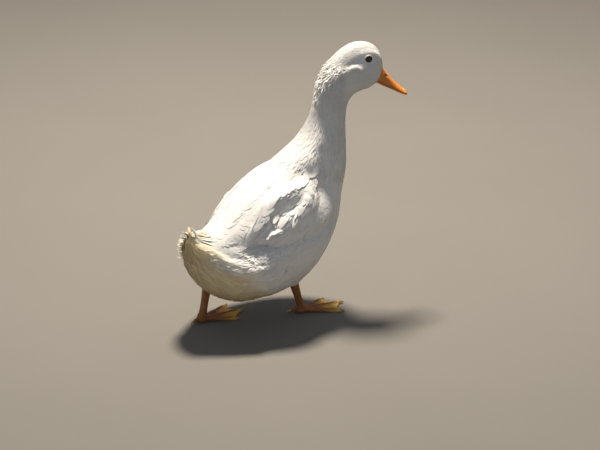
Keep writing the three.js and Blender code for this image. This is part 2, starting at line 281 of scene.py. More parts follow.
def eye_gap(p):
    """How far each point is from the middle of the nearer eye."""
    return np.min([np.linalg.norm(p - node_centre(eye), axis=1) for eye in EYES], axis=0)


def clumps(p, size_mm):
    """A smooth random value from about -1 to 1 that holds over patches of this size."""
    return np.array([noise.noise(Vector(q / (size_mm * MM))) for q in p]) * 1.8


# ---------------------------------------------------------------- the body's own directions


def body_line():
    """Close points along the body line, the way they run and how far each is from the bill, in metres."""
    trunk = [np.array(Vector((x, 0, z)) * MM) for x, z in TRUNK_LINE]
    knots = np.array([head_place(x, 0, z) for x, z in HEAD_LINE] + trunk)
    padded = np.vstack([2 * knots[0] - knots[1], knots, 2 * knots[-1] - knots[-2]])
    line = []
    for step in np.linspace(0, len(knots) - 1, 120):
        i = min(int(step), len(knots) - 2)
        u = step - i
        a, b, c, d = padded[i : i + 4]
        curve = 2 * b + (c - a) * u + (2 * a - 5 * b + 4 * c - d) * u * u + (3 * b - a - 3 * c + d) * u**3
        line.append(0.5 * curve)
    line = np.array(line)
    far = np.concatenate([[0], np.cumsum(np.linalg.norm(np.diff(line, axis=0), axis=1))])
    return line, unit(np.gradient(line, axis=0)), far


LINE, LINE_WAY, LINE_FAR = body_line()
# How far along itself the body line is averaged, in metres.
LINE_REACH = 0.022


def along_body(p):
    """For each point its distance along the body line, the line's direction and the line's nearest place."""
    far, way, near = [], [], []
    for part in np.array_split(p, max(1, len(p) // 4000)):
        d2 = ((part[:, None] - LINE[None]) ** 2).sum(-1)
        w = np.exp(-(d2 - d2.min(1, keepdims=True)) / (2 * LINE_REACH * LINE_REACH))
        w /= w.sum(1, keepdims=True)
        far.append(w @ LINE_FAR)
        way.append(w @ LINE_WAY)
        near.append(w @ LINE)
    return np.concatenate(far), unit(np.concatenate(way)), np.concatenate(near)


# A place on the slanting line over the vent, as x and z in mm, and the way across it, to the rear and down.
VENT, VENT_WAY = (-158, 142), (-0.68, -0.74)
# The cream starts there, or behind this place, in mm.
CREAM_START = -164


def under_tail(x, z):
    """How far each place is behind and below the slanting line over the vent, in mm."""
    return VENT_WAY[0] * (x - VENT[0]) + VENT_WAY[1] * (z - VENT[1])


def cream_at(p):
    """How cream the plumage is at each point: the tail, the fluff under it and the vent, then fading."""
    x, y, z = (p / MM).T
    # The edge of the cream wavers by some millimetres.
    wave = 5 * np.sin(z / 9.0 + y / 14.0) + 3 * np.sin(y / 5.0 + x / 11.0)
    return smoothstep(-16, 24, np.maximum(under_tail(x, z), CREAM_START - x) + wave)


def fluff_at(p):
    """Where the feathers are loose and fluffy: round the vent and under the tail."""
    x, y, z = (p / MM).T
    return smoothstep(0, 30, under_tail(x, z)) * smoothstep(172, 150, z)


# Places where the coat is ruffled: x and z in mm seen from the right, how wide, and how much.
RUFFLES = (
    (-96, 138, 15, 1.2),
    (-120, 140, 13, 1.0),
    (-108, 124, 14, 0.9),
    (-82, 128, 13, 1.0),
    (-16, 221, 9, 0.8),
)


def ruffled_at(p):
    """How ruffled the coat is at each point, up to 1: the right side shows it most, the left a little."""
    x, y, z = (p / MM).T
    out = np.zeros(len(p))
    for px, pz, wide, much in RUFFLES:
        out += much * np.exp(-(((x - px) ** 2 + (z - pz) ** 2) / wide**2))
    return np.minimum(out * np.where(y < -18, 1.0, np.where(y > 18, 0.35, 0.0)), 1)


def soft_at(p, n):
    """Where the coat is fine and soft with no feather edges to be seen: the vent, belly and rear flanks."""
    x, y, z = (p / MM).T
    flank = smoothstep(0.25, 0.0, n[:, 2]) * smoothstep(-20, -60, x) * smoothstep(165, 140, z)
    belly = smoothstep(0.0, -0.3, n[:, 2]) * smoothstep(120, 90, z)
    return np.maximum.reduce([smoothstep(0.1, 0.5, fluff_at(p)), flank, belly, ruffled_at(p)])


# ---------------------------------------------------------------- soft forms under the coat

# Forms on the body, seen from the side: how wide each is, then its places as x, z and height in mm.
# A height below 0 is a hollow.
RELIEF = {
    "edge of the back feathers": (
        5,
        (
            (2, 241, 1), (-12, 236, 3), (-32, 230, 4), (-47, 225, 4), (-61, 221, 4), (-71, 216, 4),
            (-81, 208, 4), (-89, 198, 4), (-96, 188, 3), (-108, 178, 3), (-117, 167, 2), (-125, 156, 1),
        ),
    ),
    "hollow over the wing": (
        8,
        (
            (0, 230, -1), (-10, 225, -7), (-28, 218, -9), (-43, 211, -10), (-57, 207, -9), (-66, 202, -9),
            (-75, 194, -8), (-84, 184, -7), (-94, 174, -5), (-104, 166, -2),
        ),
    ),
    "side of the breast over the wing's bend": (
        8,
        ((52, 190, 1), (40, 181, 2), (22, 176, 1), (0, 176, 1), (-16, 176, 1), (-34, 173, 2), (-48, 170, 1)),
    ),
    "slope of the breast's side": (
        28,
        ((62, 208, -6), (52, 219, -14), (40, 227, -18), (24, 231, -17), (10, 232, -9)),
    ),
    "side of the rump": (10, ((-168, 158, 1), (-150, 153, 4), (-134, 150, 4), (-120, 152, 3))),
    "ruffled coverts": (7, ((-30, 212, 3), (-16, 221, 8), (-4, 228, 6))),
    "bulge of the flank": (
        14,
        ((-158, 132, 1), (-142, 125, 6), (-120, 119, 10), (-103, 116, 11), (-87, 118, 10), (-78, 130, 5)),
    ),
    "dip under the wing": (
        6,
        ((-116, 157, -1), (-104, 157, -6), (-92, 155, -8), (-74, 150, -7), (-56, 154, -3), (-46, 166, -1)),
    ),
    "dip before the flank": (9, ((-68, 146, -1), (-64, 132, -3), (-66, 114, -1))),
    "dip under the breast's side": (
        9,
        ((54, 186, -2), (46, 168, -6), (24, 157, -8), (-8, 155, -7), (-34, 158, -3)),
    ),
    "near edge of the tail": (9, ((-190, 164, 2), (-179, 153, 5), (-165, 138, 5), (-153, 124, 1))),
    "dip under the tail's edge": (7, ((-192, 146, 0), (-178, 134, -2), (-166, 121, -3), (-153, 108, -1))),
    "edge of the neck's base": (8, ((25, 294, 0), (20, 276, 3), (16, 260, 3), (17, 246, 1))),
    "hollow of the neck's base": (
        12,
        ((46, 294, -1), (40, 274, -5), (38, 257, -6), (43, 245, -3), (50, 234, -1)),
    ),
}
# Forms on the head in the same way, before it is turned.
EAR_PATCH = (
    3.5,
    ((103, 393, 0.8), (107, 401, 2.6), (113, 406, 3.6), (120, 407, 3.6), (127, 404, 3.0), (131, 397, 1.2)),
)
HEAD_RELIEF = {
    "raised rim of the ear patch": EAR_PATCH,
    "brow": (4, ((118, 424, 0.2), (130, 427, 1.2), (142, 428, 2.0), (154, 424, 2.0), (162, 415, 0.6))),
    "side of the forehead": (6, ((150, 424, 0.5), (158, 420, 2.0), (164, 413, 2.4), (167, 405, 1.0))),
    "groove behind the eye": (3.5, ((135, 416, -0.3), (127, 415, -1.6), (116, 414, -1.4), (108, 410, -0.6))),
    "fold down the nape": (
        7,
        (
            (108, 404, 0.5), (100, 402, 2), (93, 397, 3.5), (85, 390, 4),
            (77, 380, 4), (70, 368, 3.5), (66, 352, 2), (64, 340, 0),
        ),
    ),
}
# The rump's and tail's far edge, seen from behind on the duck's right, in mm.
RIM = ((-182, 41, 122), (-188, 33, 136), (-190, 26, 148), (-194, 17, 160), (-193, 11, 171), (-195, 6, 177))
# How far the rim is let in for its tufts, how wide, and how deep the ruffles are, in mm.
RIM_DEPTH, RIM_WIDTH, RUFFLE_DEPTH = 4, 7, 2.4


def ridge(x, z, width, line):
    """How high each place stands on a soft ridge along a line whose height changes from point to point."""
    nearest, total, weight = np.full(len(x), 1e9), np.zeros(len(x)), np.full(len(x), 1e-30)
    for (x0, z0, h0), (x1, z1, h1) in zip(line, line[1:]):
        dx, dz = x1 - x0, z1 - z0
        for t in np.linspace(0, 1, 2 + int(math.hypot(dx, dz) / (0.5 * width))):
            gap = np.hypot(x - x0 - t * dx, z - z0 - t * dz) / width
            close = np.exp(-3 * np.minimum(gap, 6) ** 2)
            total, weight = total + close * (h0 + (h1 - h0) * t), weight + close
        t = np.clip(((x - x0) * dx + (z - z0) * dz) / (dx * dx + dz * dz), 0, 1)
        nearest = np.minimum(nearest, np.hypot(x - x0 - t * dx, z - z0 - t * dz))
    return total / weight * np.exp(-((nearest / width) ** 2))


def nape_at(p):
    """How ruffled the back of the head and the top of the neck are at each point."""
    x, y, z = unturned(p).T
    return smoothstep(111, 96, x) * smoothstep(330, 372, z) * smoothstep(424, 406, z)


def ear_at(p):
    """How near each point is to the raised edge of an ear patch, from 0 to 1."""
    x, y, z = unturned(p).T
    width, line = EAR_PATCH
    edge = ridge(x, z, width, [(a, b, 1.0) for a, b, _ in line])
    return edge * smoothstep(12, 20, np.abs(y)) * smoothstep(350, 380, z)


def relief_at(p):
    """How far the soft forms move each point of the skin outwards, in metres."""
    x, y, z = (p / MM).T
    body = sum(ridge(x, z, *form) for form in RELIEF.values()) * smoothstep(300, 280, z)
    body += RUFFLE_DEPTH * clumps(p, 10) * ruffled_at(p)
    # The forms are strongest on the right; the tail's run nearer the middle.
    out = np.abs(y)
    side = np.maximum(smoothstep(20, 36, out), smoothstep(6, 16, out) * (x < -150))
    body *= np.where(y < 0, 1.0, 0.25) * side
    # The far edge of the rump is let in, for the loose tufts that stand out there.
    rim = ridge(y, z, RIM_WIDTH, [(b, c, -RIM_DEPTH) for _, b, c in RIM]) * smoothstep(-160, -175, x)
    x, y, z = unturned(p).T
    head = sum(ridge(x, z, *form) for form in HEAD_RELIEF.values())
    head *= smoothstep(6, 14, np.abs(y)) * smoothstep(335, 350, z)
    return (body + head + rim) * MM


# ---------------------------------------------------------------- sizes and colours


def depth_setting(name, description, mm):
    """A setting for how deep a part of the coat is."""
    return bpy.props.FloatProperty(name=name, description=description, default=mm * MM, unit="LENGTH")


def colour_setting(name, whose, hue):
    """A setting for a part's colour."""
    description = "Colour of the " + whose
    return bpy.props.FloatVectorProperty(
        name=name, description=description, subtype="COLOR", size=4, default=linear(hue)
    )


class DuckCoat(bpy.types.PropertyGroup):
    head_depth: depth_setting("Head coat", "Depth of the feathers on the head", 0.8)
    neck_depth: depth_setting("Neck coat", "Depth of the feathers on the neck", 1.3)
    fluff_depth: depth_setting("Fluff", "Further depth under the tail", 4.0)
    body_depth: depth_setting("Body coat", "Depth of the feathers on the body", 1.5)
    density: bpy.props.FloatProperty(
        name="Closeness", description="1 for a full coat, less for a thin one", default=1.0, min=0.3, max=1.5
    )
    seed: bpy.props.IntProperty(
        name="Seed", description="Number that the feathers' small differences start from", default=7
    )


class DuckColours(bpy.types.PropertyGroup):
    white: colour_setting("White", "white feathers", "#F6F4EF")
    cream: colour_setting("Cream", "tail and its fluff", "#F3E3BC")
    bill: colour_setting("Bill", "bill", "#E88A2A")
    leg: colour_setting("Legs", "legs and feet", "#9B6238")
    floor: colour_setting("Floor", "studio floor", "#7A766F")


class DuckStudio(bpy.types.PropertyGroup):
    azimuth: bpy.props.FloatProperty(
        name="Turn", description="Camera's angle round the duck", default=math.radians(-36), subtype="ANGLE"
    )
    elevation: bpy.props.FloatProperty(
        name="Rise", description="Camera's angle above the floor", default=math.radians(23), subtype="ANGLE"
    )
    distance: bpy.props.FloatProperty(
        name="Distance", description="Camera's distance", default=3.4, unit="LENGTH"
    )
    lens: bpy.props.FloatProperty(name="Lens", description="Camera's focal length in mm", default=123.6)
    aim: bpy.props.FloatVectorProperty(
        name="Aim", description="Point that the camera looks at", default=(0.0224, 0.0, 0.140), subtype="XYZ"
    )


# ---------------------------------------------------------------- materials

# Feather barbs are about 0.3 mm apart, and are drawn coarser than that so that they show.
BARB = 0.9 * MM


def add(tree, kind, inputs=(), stops=(), **settings):
    """Adds a node with its settings. inputs holds what goes into its sockets, by name or number or in order:
    a value, a socket, or a node, whose first output in use is linked. stops are a ramp's colours."""
    node = tree.nodes.new(kind)
    for key, value in settings.items():
        setattr(node, key, value)
    for socket, value in inputs.items() if isinstance(inputs, dict) else enumerate(inputs):
        if isinstance(value, bpy.types.Node):
            value = next(output for output in value.outputs if output.enabled)
        if isinstance(value, bpy.types.NodeSocket):
            tree.links.new(value, node.inputs[socket])
        else:
            node.inputs[socket].default_value = value
    for _ in stops[2:]:
        node.color_ramp.elements.new(0.5)
    for element, (place, colour) in zip(node.color_ramp.elements if stops else (), stops):
        element.position = place
        element.color = colour
    return node


def material_of(name, build, *args):
    """A material whose shader is made by a function of its node tree."""
    material = bpy.data.materials.new(name)
    material.use_nodes = True
    tree = material.node_tree
    tree.nodes.clear()
    add(tree, "ShaderNodeOutputMaterial", {"Surface": build(tree, *args)})
    return material


def plumage(tree, colours):
    """The plumage's colour, from white to cream."""
    cream = add(tree, "ShaderNodeAttribute", attribute_name="cream").outputs["Fac"]
    inputs = {0: cream, 6: tuple(colours.white), 7: tuple(colours.cream)}
    return add(tree, "ShaderNodeMix", inputs, data_type="RGBA")


def feather_keratin(tree, colours):
    """Feather keratin: matt, a little see-through to light, with fine barbs running out from the shaft."""
    split = add(tree, "ShaderNodeSeparateXYZ", [add(tree, "ShaderNodeUVMap", uv_map="Vane")])
    across = add(tree, "ShaderNodeMath", [split.outputs["X"]], operation="ABSOLUTE")
    slant = add(tree, "ShaderNodeMath", [across, -1.1, split.outputs["Y"]], operation="MULTIPLY_ADD")
    barbs = add(tree, "ShaderNodeMath", [slant, 2 * math.pi / BARB], operation="MULTIPLY")
    wave = add(tree, "ShaderNodeMath", [barbs], operation="SINE")
    shaft = add(tree, "ShaderNodeMapRange", [across, 0.2 * MM, 0.8 * MM, 1.0, 0.0])
    height = add(tree, "ShaderNodeMath", [wave, 0.35, shaft], operation="MULTIPLY_ADD")
    bump = add(tree, "ShaderNodeBump", {"Strength": 0.06, "Distance": 0.3 * MM, "Height": height})
    # Fine dust and the small differences between one feather and the next.
    place = add(tree, "ShaderNodeTexCoord").outputs["Object"]
    dust = add(tree, "ShaderNodeTexNoise", {"Vector": place, "Scale": 28.0, "Detail": 4.0, "Roughness": 0.6})
    worn = add(tree, "ShaderNodeMapRange", [dust, 0.3, 0.75, 1.0, 0.93])
    tone = add(tree, "ShaderNodeAttribute", attribute_name="tone").outputs["Fac"]
    level = add(tree, "ShaderNodeMath", [worn, tone], operation="MULTIPLY")
    colour = add(
        tree, "ShaderNodeVectorMath", {0: plumage(tree, colours), "Scale": level}, operation="SCALE"
    )
    matt = add(
        tree,
        "ShaderNodeBsdfPrincipled",
        {"Base Color": colour, "Roughness": 0.62, "IOR": 1.54, "Specular IOR Level": 0.35, "Normal": bump},
    )
    through = add(tree, "ShaderNodeBsdfTranslucent", {"Color": colour})
    return add(tree, "ShaderNodeMixShader", [0.12, matt, through])


def down(tree, colours):
    """White down, in which the skin under the coat is hidden: very soft, with no shine."""
    place = add(tree, "ShaderNodeTexCoord").outputs["Object"]
    fluff = add(tree, "ShaderNodeTexNoise", {"Vector": place, "Scale": 600.0, "Detail": 3.0})
    bump = add(tree, "ShaderNodeBump", {"Strength": 0.4, "Distance": 0.4 * MM, "Height": fluff})
    inputs = {"Base Color": plumage(tree, colours), "Roughness": 0.8, "IOR": 1.5, "Normal": bump}
    return add(tree, "ShaderNodeBsdfPrincipled", inputs)


def leg_skin(tree, colours):
    """Scaly leg skin: small raised plates with creases darkened by painted shade, dusted with dry mud low
    down, and webs paler yellow with painted light.
    """
    place = add(tree, "ShaderNodeTexCoord").outputs["Object"]
    # Plates about 2.4 mm across.
    scales = add(tree, "ShaderNodeTexVoronoi", {"Vector": place, "Scale": 420.0}, feature="DISTANCE_TO_EDGE")
    plate = add(tree, "ShaderNodeMapRange", [scales, 0.0, 0.12, 0.0, 1.0])
    leg = tuple(colours.leg)
    # The creases between the plates are darkened: painted shade.
    crease = tuple(c * 0.55 for c in leg[:3]) + (1.0,)
    creases = add(tree, "ShaderNodeMix", {0: plate, 6: crease, 7: leg}, data_type="RGBA")
    speckle = {"Vector": place, "Scale": 60.0, "Detail": 5.0, "Roughness": 0.65}
    patches = add(tree, "ShaderNodeTexNoise", speckle)
    mud = add(tree, "ShaderNodeMapRange", [patches, 0.42, 0.7, 0.0, 0.55])
    muddy = add(tree, "ShaderNodeMix", {0: mud, 6: creases, 7: linear("#B5793F")}, data_type="RGBA")
    web_painted_light = add(tree, "ShaderNodeAttribute", attribute_name="web_painted_light").outputs["Fac"]
    # The webs' pale yellow is painted light: a sunlit copy of the leg's orange.
    painted_lit_webs = add(tree, "ShaderNodeMix", {0: web_painted_light, 6: muddy, 7: linear("#EDBE55")}, data_type="RGBA")
    bump = add(tree, "ShaderNodeBump", {"Strength": 0.55, "Distance": 0.35 * MM, "Height": plate})
    inputs = {"Base Color": painted_lit_webs, "Roughness": 0.5, "IOR": 1.45, "Normal": bump}
    return add(tree, "ShaderNodeBsdfPrincipled", inputs)


def lid_skin(tree):
    """Bare eyelid skin: thin and finely creased, pale, and darker towards its rim with painted shade round
    the eye.
    """
    place = add(tree, "ShaderNodeTexCoord").outputs["Object"]
    creases = add(tree, "ShaderNodeTexNoise", {"Vector": place, "Scale": 1400.0, "Detail": 2.0})
    rim = add(tree, "ShaderNodeAttribute", attribute_name="lid_rim").outputs["Fac"]
    # Darker towards the lids' edge: painted shade where the lid meets the eye.
    stops = ((0.0, linear("#B9B1A4")), (0.35, linear("#6E655A")), (0.7, linear("#2A221C")))
    colour = add(tree, "ShaderNodeValToRGB", [rim], stops)
    bump = add(tree, "ShaderNodeBump", {"Strength": 0.3, "Distance": 0.2 * MM, "Height": creases})
    inputs = {"Base Color": colour, "Roughness": 0.5, "IOR": 1.4, "Normal": bump}
    return add(tree, "ShaderNodeBsdfPrincipled", inputs)


def wet_eye(tree):
    """Wet dark eye: near-black brown iris and black pupil under a clear, very smooth cornea."""
    ring = add(tree, "ShaderNodeAttribute", attribute_name="from_pupil").outputs["Fac"]
    rings = ((0.0, "#050505"), (0.42, "#060505"), (0.5, "#2A1D16"), (0.8, "#1B1410"), (1.0, "#0A0807"))
    colour = add(tree, "ShaderNodeValToRGB", [ring], [(place, linear(hue)) for place, hue in rings])
    cornea = {"Coat Weight": 1.0, "Coat Roughness": 0.03, "Coat IOR": 1.38}
    inputs = {"Base Color": colour, "Roughness": 0.18, "IOR": 1.376, **cornea}
    return add(tree, "ShaderNodeBsdfPrincipled", inputs)


def bill_horn(tree, colours):
    """Bill horn under thin skin: satin orange, browner towards its base and most of all low down, partly
    dirt and partly painted shade, with fine pits and growth lines.
    """
    place = add(tree, "ShaderNodeTexCoord").outputs["Object"]
    # The bill's own directions: its middle is at the origin and X runs out towards its tip.
    middle = tuple(node_centre("bill_upper"))
    inputs = {"Vector": place, "Location": middle, "Rotation": (0.0, 0.0, HEAD_TURN)}
    own = add(tree, "ShaderNodeMapping", inputs, vector_type="TEXTURE")
    split = add(tree, "ShaderNodeSeparateXYZ", [own])
    # Browner towards the base: partly dirt, partly painted shade where the bill meets the face.
    base = add(
        tree,
        "ShaderNodeMapRange",
        [split.outputs["X"], -22 * MM, 24 * MM, 1.0, 0.0],
        interpolation_type="SMOOTHSTEP",
    )
    # The browning is strongest low down: painted shade on the bill's lower side.
    low = add(tree, "ShaderNodeMapRange", [split.outputs["Z"], -16 * MM, 14 * MM, 1.0, 0.1])
    base_dirt_and_painted_shade = add(tree, "ShaderNodeMath", [base, low], operation="MULTIPLY")
    orange = tuple(colours.bill)
    colour = add(tree, "ShaderNodeMix", {0: base_dirt_and_painted_shade, 6: orange, 7: linear("#8A4A20")}, data_type="RGBA")
    speckle = {"Vector": place, "Scale": 110.0, "Detail": 4.0, "Roughness": 0.6}
    patches = add(tree, "ShaderNodeTexNoise", speckle)
    pale = add(tree, "ShaderNodeMapRange", [patches, 0.45, 0.75, 0.0, 0.4])
    mottled = add(tree, "ShaderNodeMix", {0: pale, 6: colour, 7: linear("#E9B04C")}, data_type="RGBA")
    nostril = add(tree, "ShaderNodeAttribute", attribute_name="nostril").outputs["Fac"]
    # The nostrils are painted near-black: painted shade in their shallow pits.
    nostril_painted_shade = add(tree, "ShaderNodeMix", {0: nostril, 6: mottled, 7: linear("#1E0E07")}, data_type="RGBA")
    # Pits about 1 mm apart.
    pits = add(tree, "ShaderNodeTexVoronoi", {"Vector": place, "Scale": 900.0}, feature="SMOOTH_F1")
    bump = add(tree, "ShaderNodeBump", {"Strength": 0.25, "Distance": 0.2 * MM, "Height": pits})
    rough = add(tree, "ShaderNodeMapRange", [patches, 0.3, 0.7, 0.34, 0.5])
    inputs = {"Base Color": nostril_painted_shade, "Roughness": rough, "IOR": 1.54, "Normal": bump}
    return add(tree, "ShaderNodeBsdfPrincipled", inputs)


def nail_horn(tree, light, dark, scale):
    """Nail horn: hard, smooth and slightly streaked, lighter and darker in its streaks."""
    place = add(tree, "ShaderNodeTexCoord").outputs["Object"]
    streaks = add(tree, "ShaderNodeTexNoise", {"Vector": place, "Scale": scale, "Detail": 4.0})
    colour = add(tree, "ShaderNodeValToRGB", [streaks], ((0.35, linear(dark)), (0.65, linear(light))))
    bump = add(tree, "ShaderNodeBump", {"Strength": 0.15, "Distance": 0.2 * MM, "Height": streaks})
    inputs = {"Base Color": colour, "Roughness": 0.35, "IOR": 1.56, "Normal": bump}
    return add(tree, "ShaderNodeBsdfPrincipled", inputs)


def painted_board(tree, colours):
    """Painted studio board: pale and matt with a very faint unevenness."""
    place = add(tree, "ShaderNodeTexCoord").outputs["Object"]
    cloud = add(tree, "ShaderNodeTexNoise", {"Vector": place, "Scale": 3.0, "Detail": 5.0})
    tint = tuple(colours.floor)
    dull = tuple(c * 0.96 for c in tint[:3]) + (1.0,)
    colour = add(tree, "ShaderNodeValToRGB", [cloud], ((0.3, dull), (0.7, tint)))
    return add(tree, "ShaderNodeBsdfPrincipled", {"Base Color": colour, "Roughness": 0.85, "IOR": 1.45})


# ---------------------------------------------------------------- the skin


FLESH = ("trunk", "neck", "head", "wing_left", "wing_right", "tail", "thigh_left", "thigh_right")
LEGS = ("shank_left", "foot_left", "shank_right", "foot_right")
# The skin's materials, in the order that its faces count them.
DOWN_SKIN, LEG_SKIN, LID_SKIN = range(3)

# How far the flesh is grown first, so that its nodes run together.
GROWTH = 0.7 * MM
# The skin's soft forms and the coat's tips stay this far inside the CAD model's box.
SKIN_ROOM, COAT_ROOM = 1.8 * MM, 0.3 * MM

# How far round each eye the lids stop, in degrees from its middle: along the eye, and up and down.
LID_OPENING = (42, 37)
# How far from the eye's middle the head is divided finely, and how far the lids' bare skin may reach.
EYE_REGION, LID_REGION = 13 * MM, 10.5 * MM
# The skin is divided again this near to the eye's middle, this many degrees to each side of the lids' edge.
EDGE_REGION, EDGE_ANGLE = 9 * MM, 9


def eye_way(side):
    """The way that an eye looks out: sideways, a little forward and up."""
    return head_way(0.16, SIDES[side], 0.16)


def eye_radius(side):
    """An eyeball's radius, from its CAD node."""
    low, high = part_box("eye_" + side)
    return (high.z - low.z) / 2


def lid_angle(p):
    """For points near an eye: the angle from its middle less that of the lids' edge there, in degrees."""
    out = []
    for side in SIDES:
        way = eye_way(side)
        v = unit(p - node_centre("eye_" + side))
        forward = head_way(1, 0, -0.12)
        forward = unit(forward - way * (forward @ way))
        cos = np.clip(v @ way, -1, 1)
        along = np.abs(unit(v - cos[:, None] * way) @ forward)
        opening = LID_OPENING[1] + (LID_OPENING[0] - LID_OPENING[1]) * along**1.6
        out.append(np.degrees(np.arccos(cos)) - opening)
    return np.min(out, axis=0)


def tree_of(nodes):
    """A search tree over some CAD nodes."""
    co, tris, base = [], [], 0
    for node in nodes:
        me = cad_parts[node].data
        co.append(points(me))
        tris.append(triangles(me) + base)
        base += len(co[-1])
    return BVHTree.FromPolygons(np.concatenate(co).tolist(), np.concatenate(tris).tolist())


def distance_to(tree, p, limit):
    """How far each point is from a tree's surface, up to a limit."""
    hits = [tree.find_nearest(q, limit) for q in p]
    return np.array([limit if hit[0] is None else hit[3] for hit in hits])


def coat_depth(p, coat):
    """The coat's depth over each point, by how far along the body it is."""
    head, neck, body = coat.head_depth, coat.neck_depth, coat.body_depth
    far = along_body(p)[0] / MM
    depth = np.interp(far, (0, 60, 120, 200, 290), (head * 0.7, head, head * 1.3, neck, body))
    return depth + coat.fluff_depth * fluff_at(p)


class DUCK_OT_skin(bpy.types.Operator):
    """Makes the skin: a smooth shell inside the CAD flesh by the coat's depth, with eyelids and legs"""

    bl_idname = "duck.skin"
    bl_label = "Skin"

    def execute(self, context):
        coat, colours = context.scene.duck_coat, context.scene.duck_colours
        body = grown_shell("body", FLESH + EYES, GROWTH, 2.4 * MM, 6)
        self.sink(body, coat)
        self.mould(body)
        self.shape_lids(body)
        legs = grown_shell("legs", LEGS, 0.15 * MM, 1.1 * MM, 2)
        # The soles are flat on the floor.
        co = points(legs.data)
        co[:, 2] = np.where(co[:, 2] < 0.55 * MM, 0.0, co[:, 2])
        set_points(legs.data, co)

        body.data.materials.append(material_of("White down", down, colours))
        body.data.materials.append(material_of("Scaly leg skin", leg_skin, colours))
        body.data.materials.append(material_of("Eyelid skin", lid_skin))
        legs.data.materials.append(body.data.materials[LEG_SKIN])
        self.bare_lids(body)
        skin = join("skin", [body, legs])
        self.mark(skin.data)
        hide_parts(*FLESH, *LEGS)
        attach(skin, "root")
        return {"FINISHED"}

    def sink(self, ob, coat):
        """Moves the shell in by the coat's depth, less where it is thin and near the bill, eyes and legs."""
        co, tris = points(ob.data), triangles(ob.data)
        normal = unit(spread(vertex_normals(co, tris), tris, 6))
        tree = BVHTree.FromPolygons(co.tolist(), tris.tolist())
        thick = np.full(len(co), 100 * MM)
        for i, (p, n) in enumerate(zip(co, normal)):
            hit = tree.ray_cast(Vector(p - n * 0.4 * MM), Vector(-n), 40 * MM)
            if hit[0] is not None:
                thick[i] = hit[3]
        bill = distance_to(tree_of(["bill_upper", "bill_lower"]), co, 20 * MM)
        shank = distance_to(tree_of(["shank_left", "shank_right"]), co, 20 * MM)
        eye = np.maximum(eye_gap(co) - 12 * MM, 0)
        depth = coat_depth(co, coat) + GROWTH
        limits = ((thick, 0.28, 0.3), (bill, 0.25, 0.55), (shank, 0.2, 0.7), (eye, 0.12, 1.3))
        for gap, share, least in limits:
            depth = np.minimum(depth, share * gap + least * MM)
        set_points(ob.data, co - normal * spread(depth, tris, 8)[:, None])

    def mould(self, ob):
        """Raises and hollows the soft forms that show through the coat."""
        co, tris = points(ob.data), triangles(ob.data)
        normal = unit(spread(vertex_normals(co, tris), tris, 6))
        low, high = np.array(CAD_BOX[0]) + SKIN_ROOM, np.array(CAD_BOX[1]) - SKIN_ROOM
        set_points(ob.data, np.clip(co + normal * relief_at(co)[:, None], low, high))

    def shape_lids(self, ob):
        """Divides the skin round each eye, shapes the lids over the eyeball and divides their edge again."""
        me = ob.data
        divide(ob, eye_gap(points(me)) < EYE_REGION, 3)
        co = points(me)
        near = eye_gap(co) < EYE_REGION
        co[near] = spread(co, triangles(me), 6)[near]
        set_points(me, self.lidded(co))
        divide(ob, (eye_gap(co) < EDGE_REGION) & (np.abs(lid_angle(co)) < EDGE_ANGLE), 2)
        set_points(me, self.lidded(points(me)))

    def lidded(self, co):
        """Moves the skin's points near each eye on to the lids, and sinks those inside the lids' opening."""
        for side in SIDES:
            centre, radius = node_centre("eye_" + side), eye_radius(side)
            v = co - centre
            r = np.linalg.norm(v, axis=1)
            past = lid_angle(co)
            close = (r < 16 * MM) & (v @ eye_way(side) > -4 * MM)
            # From the lids' edge outwards: the rim, the lid over the ball, a soft crease and the head.
            over = radius + np.interp(past, (4, 10), (0.6 * MM, 0.5 * MM))
            outer = smoothstep(8, 34, past)
            crease = 0.35 * MM * np.exp(-(((past - 26) / 6) ** 2))
            lid = over * (1 - outer) + r * outer - crease
            wanted = np.where(close, np.where(past < 0, radius - 1.3 * MM, lid), r)
            co = centre + v * (wanted / np.maximum(r, 1e-9))[:, None]
        return co

    def bare_lids(self, ob):
        """Gives the bare lids their own material."""
        middle = points(ob.data)[triangles(ob.data)].mean(1)
        bare = (eye_gap(middle) < LID_REGION) & (lid_angle(middle) < 16)
        index = np.where(bare, LID_SKIN, DOWN_SKIN).astype(np.int32)
        ob.data.polygons.foreach_set("material_index", index)

    def mark(self, me):
        """Stores where the plumage is cream, where the webs get painted light, and how near the lids' edge
        is, for the lids' painted shade.
        """
        co = points(me)
        rim = np.where(eye_gap(co) < LID_REGION, np.clip(1 - lid_angle(co) / 15, 0, 1), 0)
        # The webs' painted light is low and fills the front half of the foot.
        web_painted_light = np.zeros(len(co))
        for side in SIDES:
            low, high = (np.array(corner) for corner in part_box("foot_" + side))
            inside = (co > low - (0, MM, MM)) & (co < high + (0, MM, MM))
            flat = inside[:, 0] & inside[:, 1] & (co[:, 2] < 5.5 * MM)
            ahead = (co[:, 0] - low[0]) / (high[0] - low[0])
            web_painted_light = np.where(flat, smoothstep(0.45, 0.75, ahead) * 0.8, web_painted_light)
        store(me, "cream", cream_at(co))
        store(me, "lid_rim", rim)
        store(me, "web_painted_light", web_painted_light)


# ---------------------------------------------------------------- how feathers lie


# The bill's base, in mm before the head is turned. Round it, the thighs and the eyes the feathers have a way
# of their own, which holds as far as this and this strongly beside the way along the body.
BILL_BASE = (168, 0, 384)
BILL_REACH, BILL_PULL = 32 * MM, 1.4
THIGH_REACH, THIGH_PULL = 22 * MM, 2.2
EYE_REACH, EYE_PULL = (17 * MM, 8 * MM), 1.3
WING_PULL = 0.8


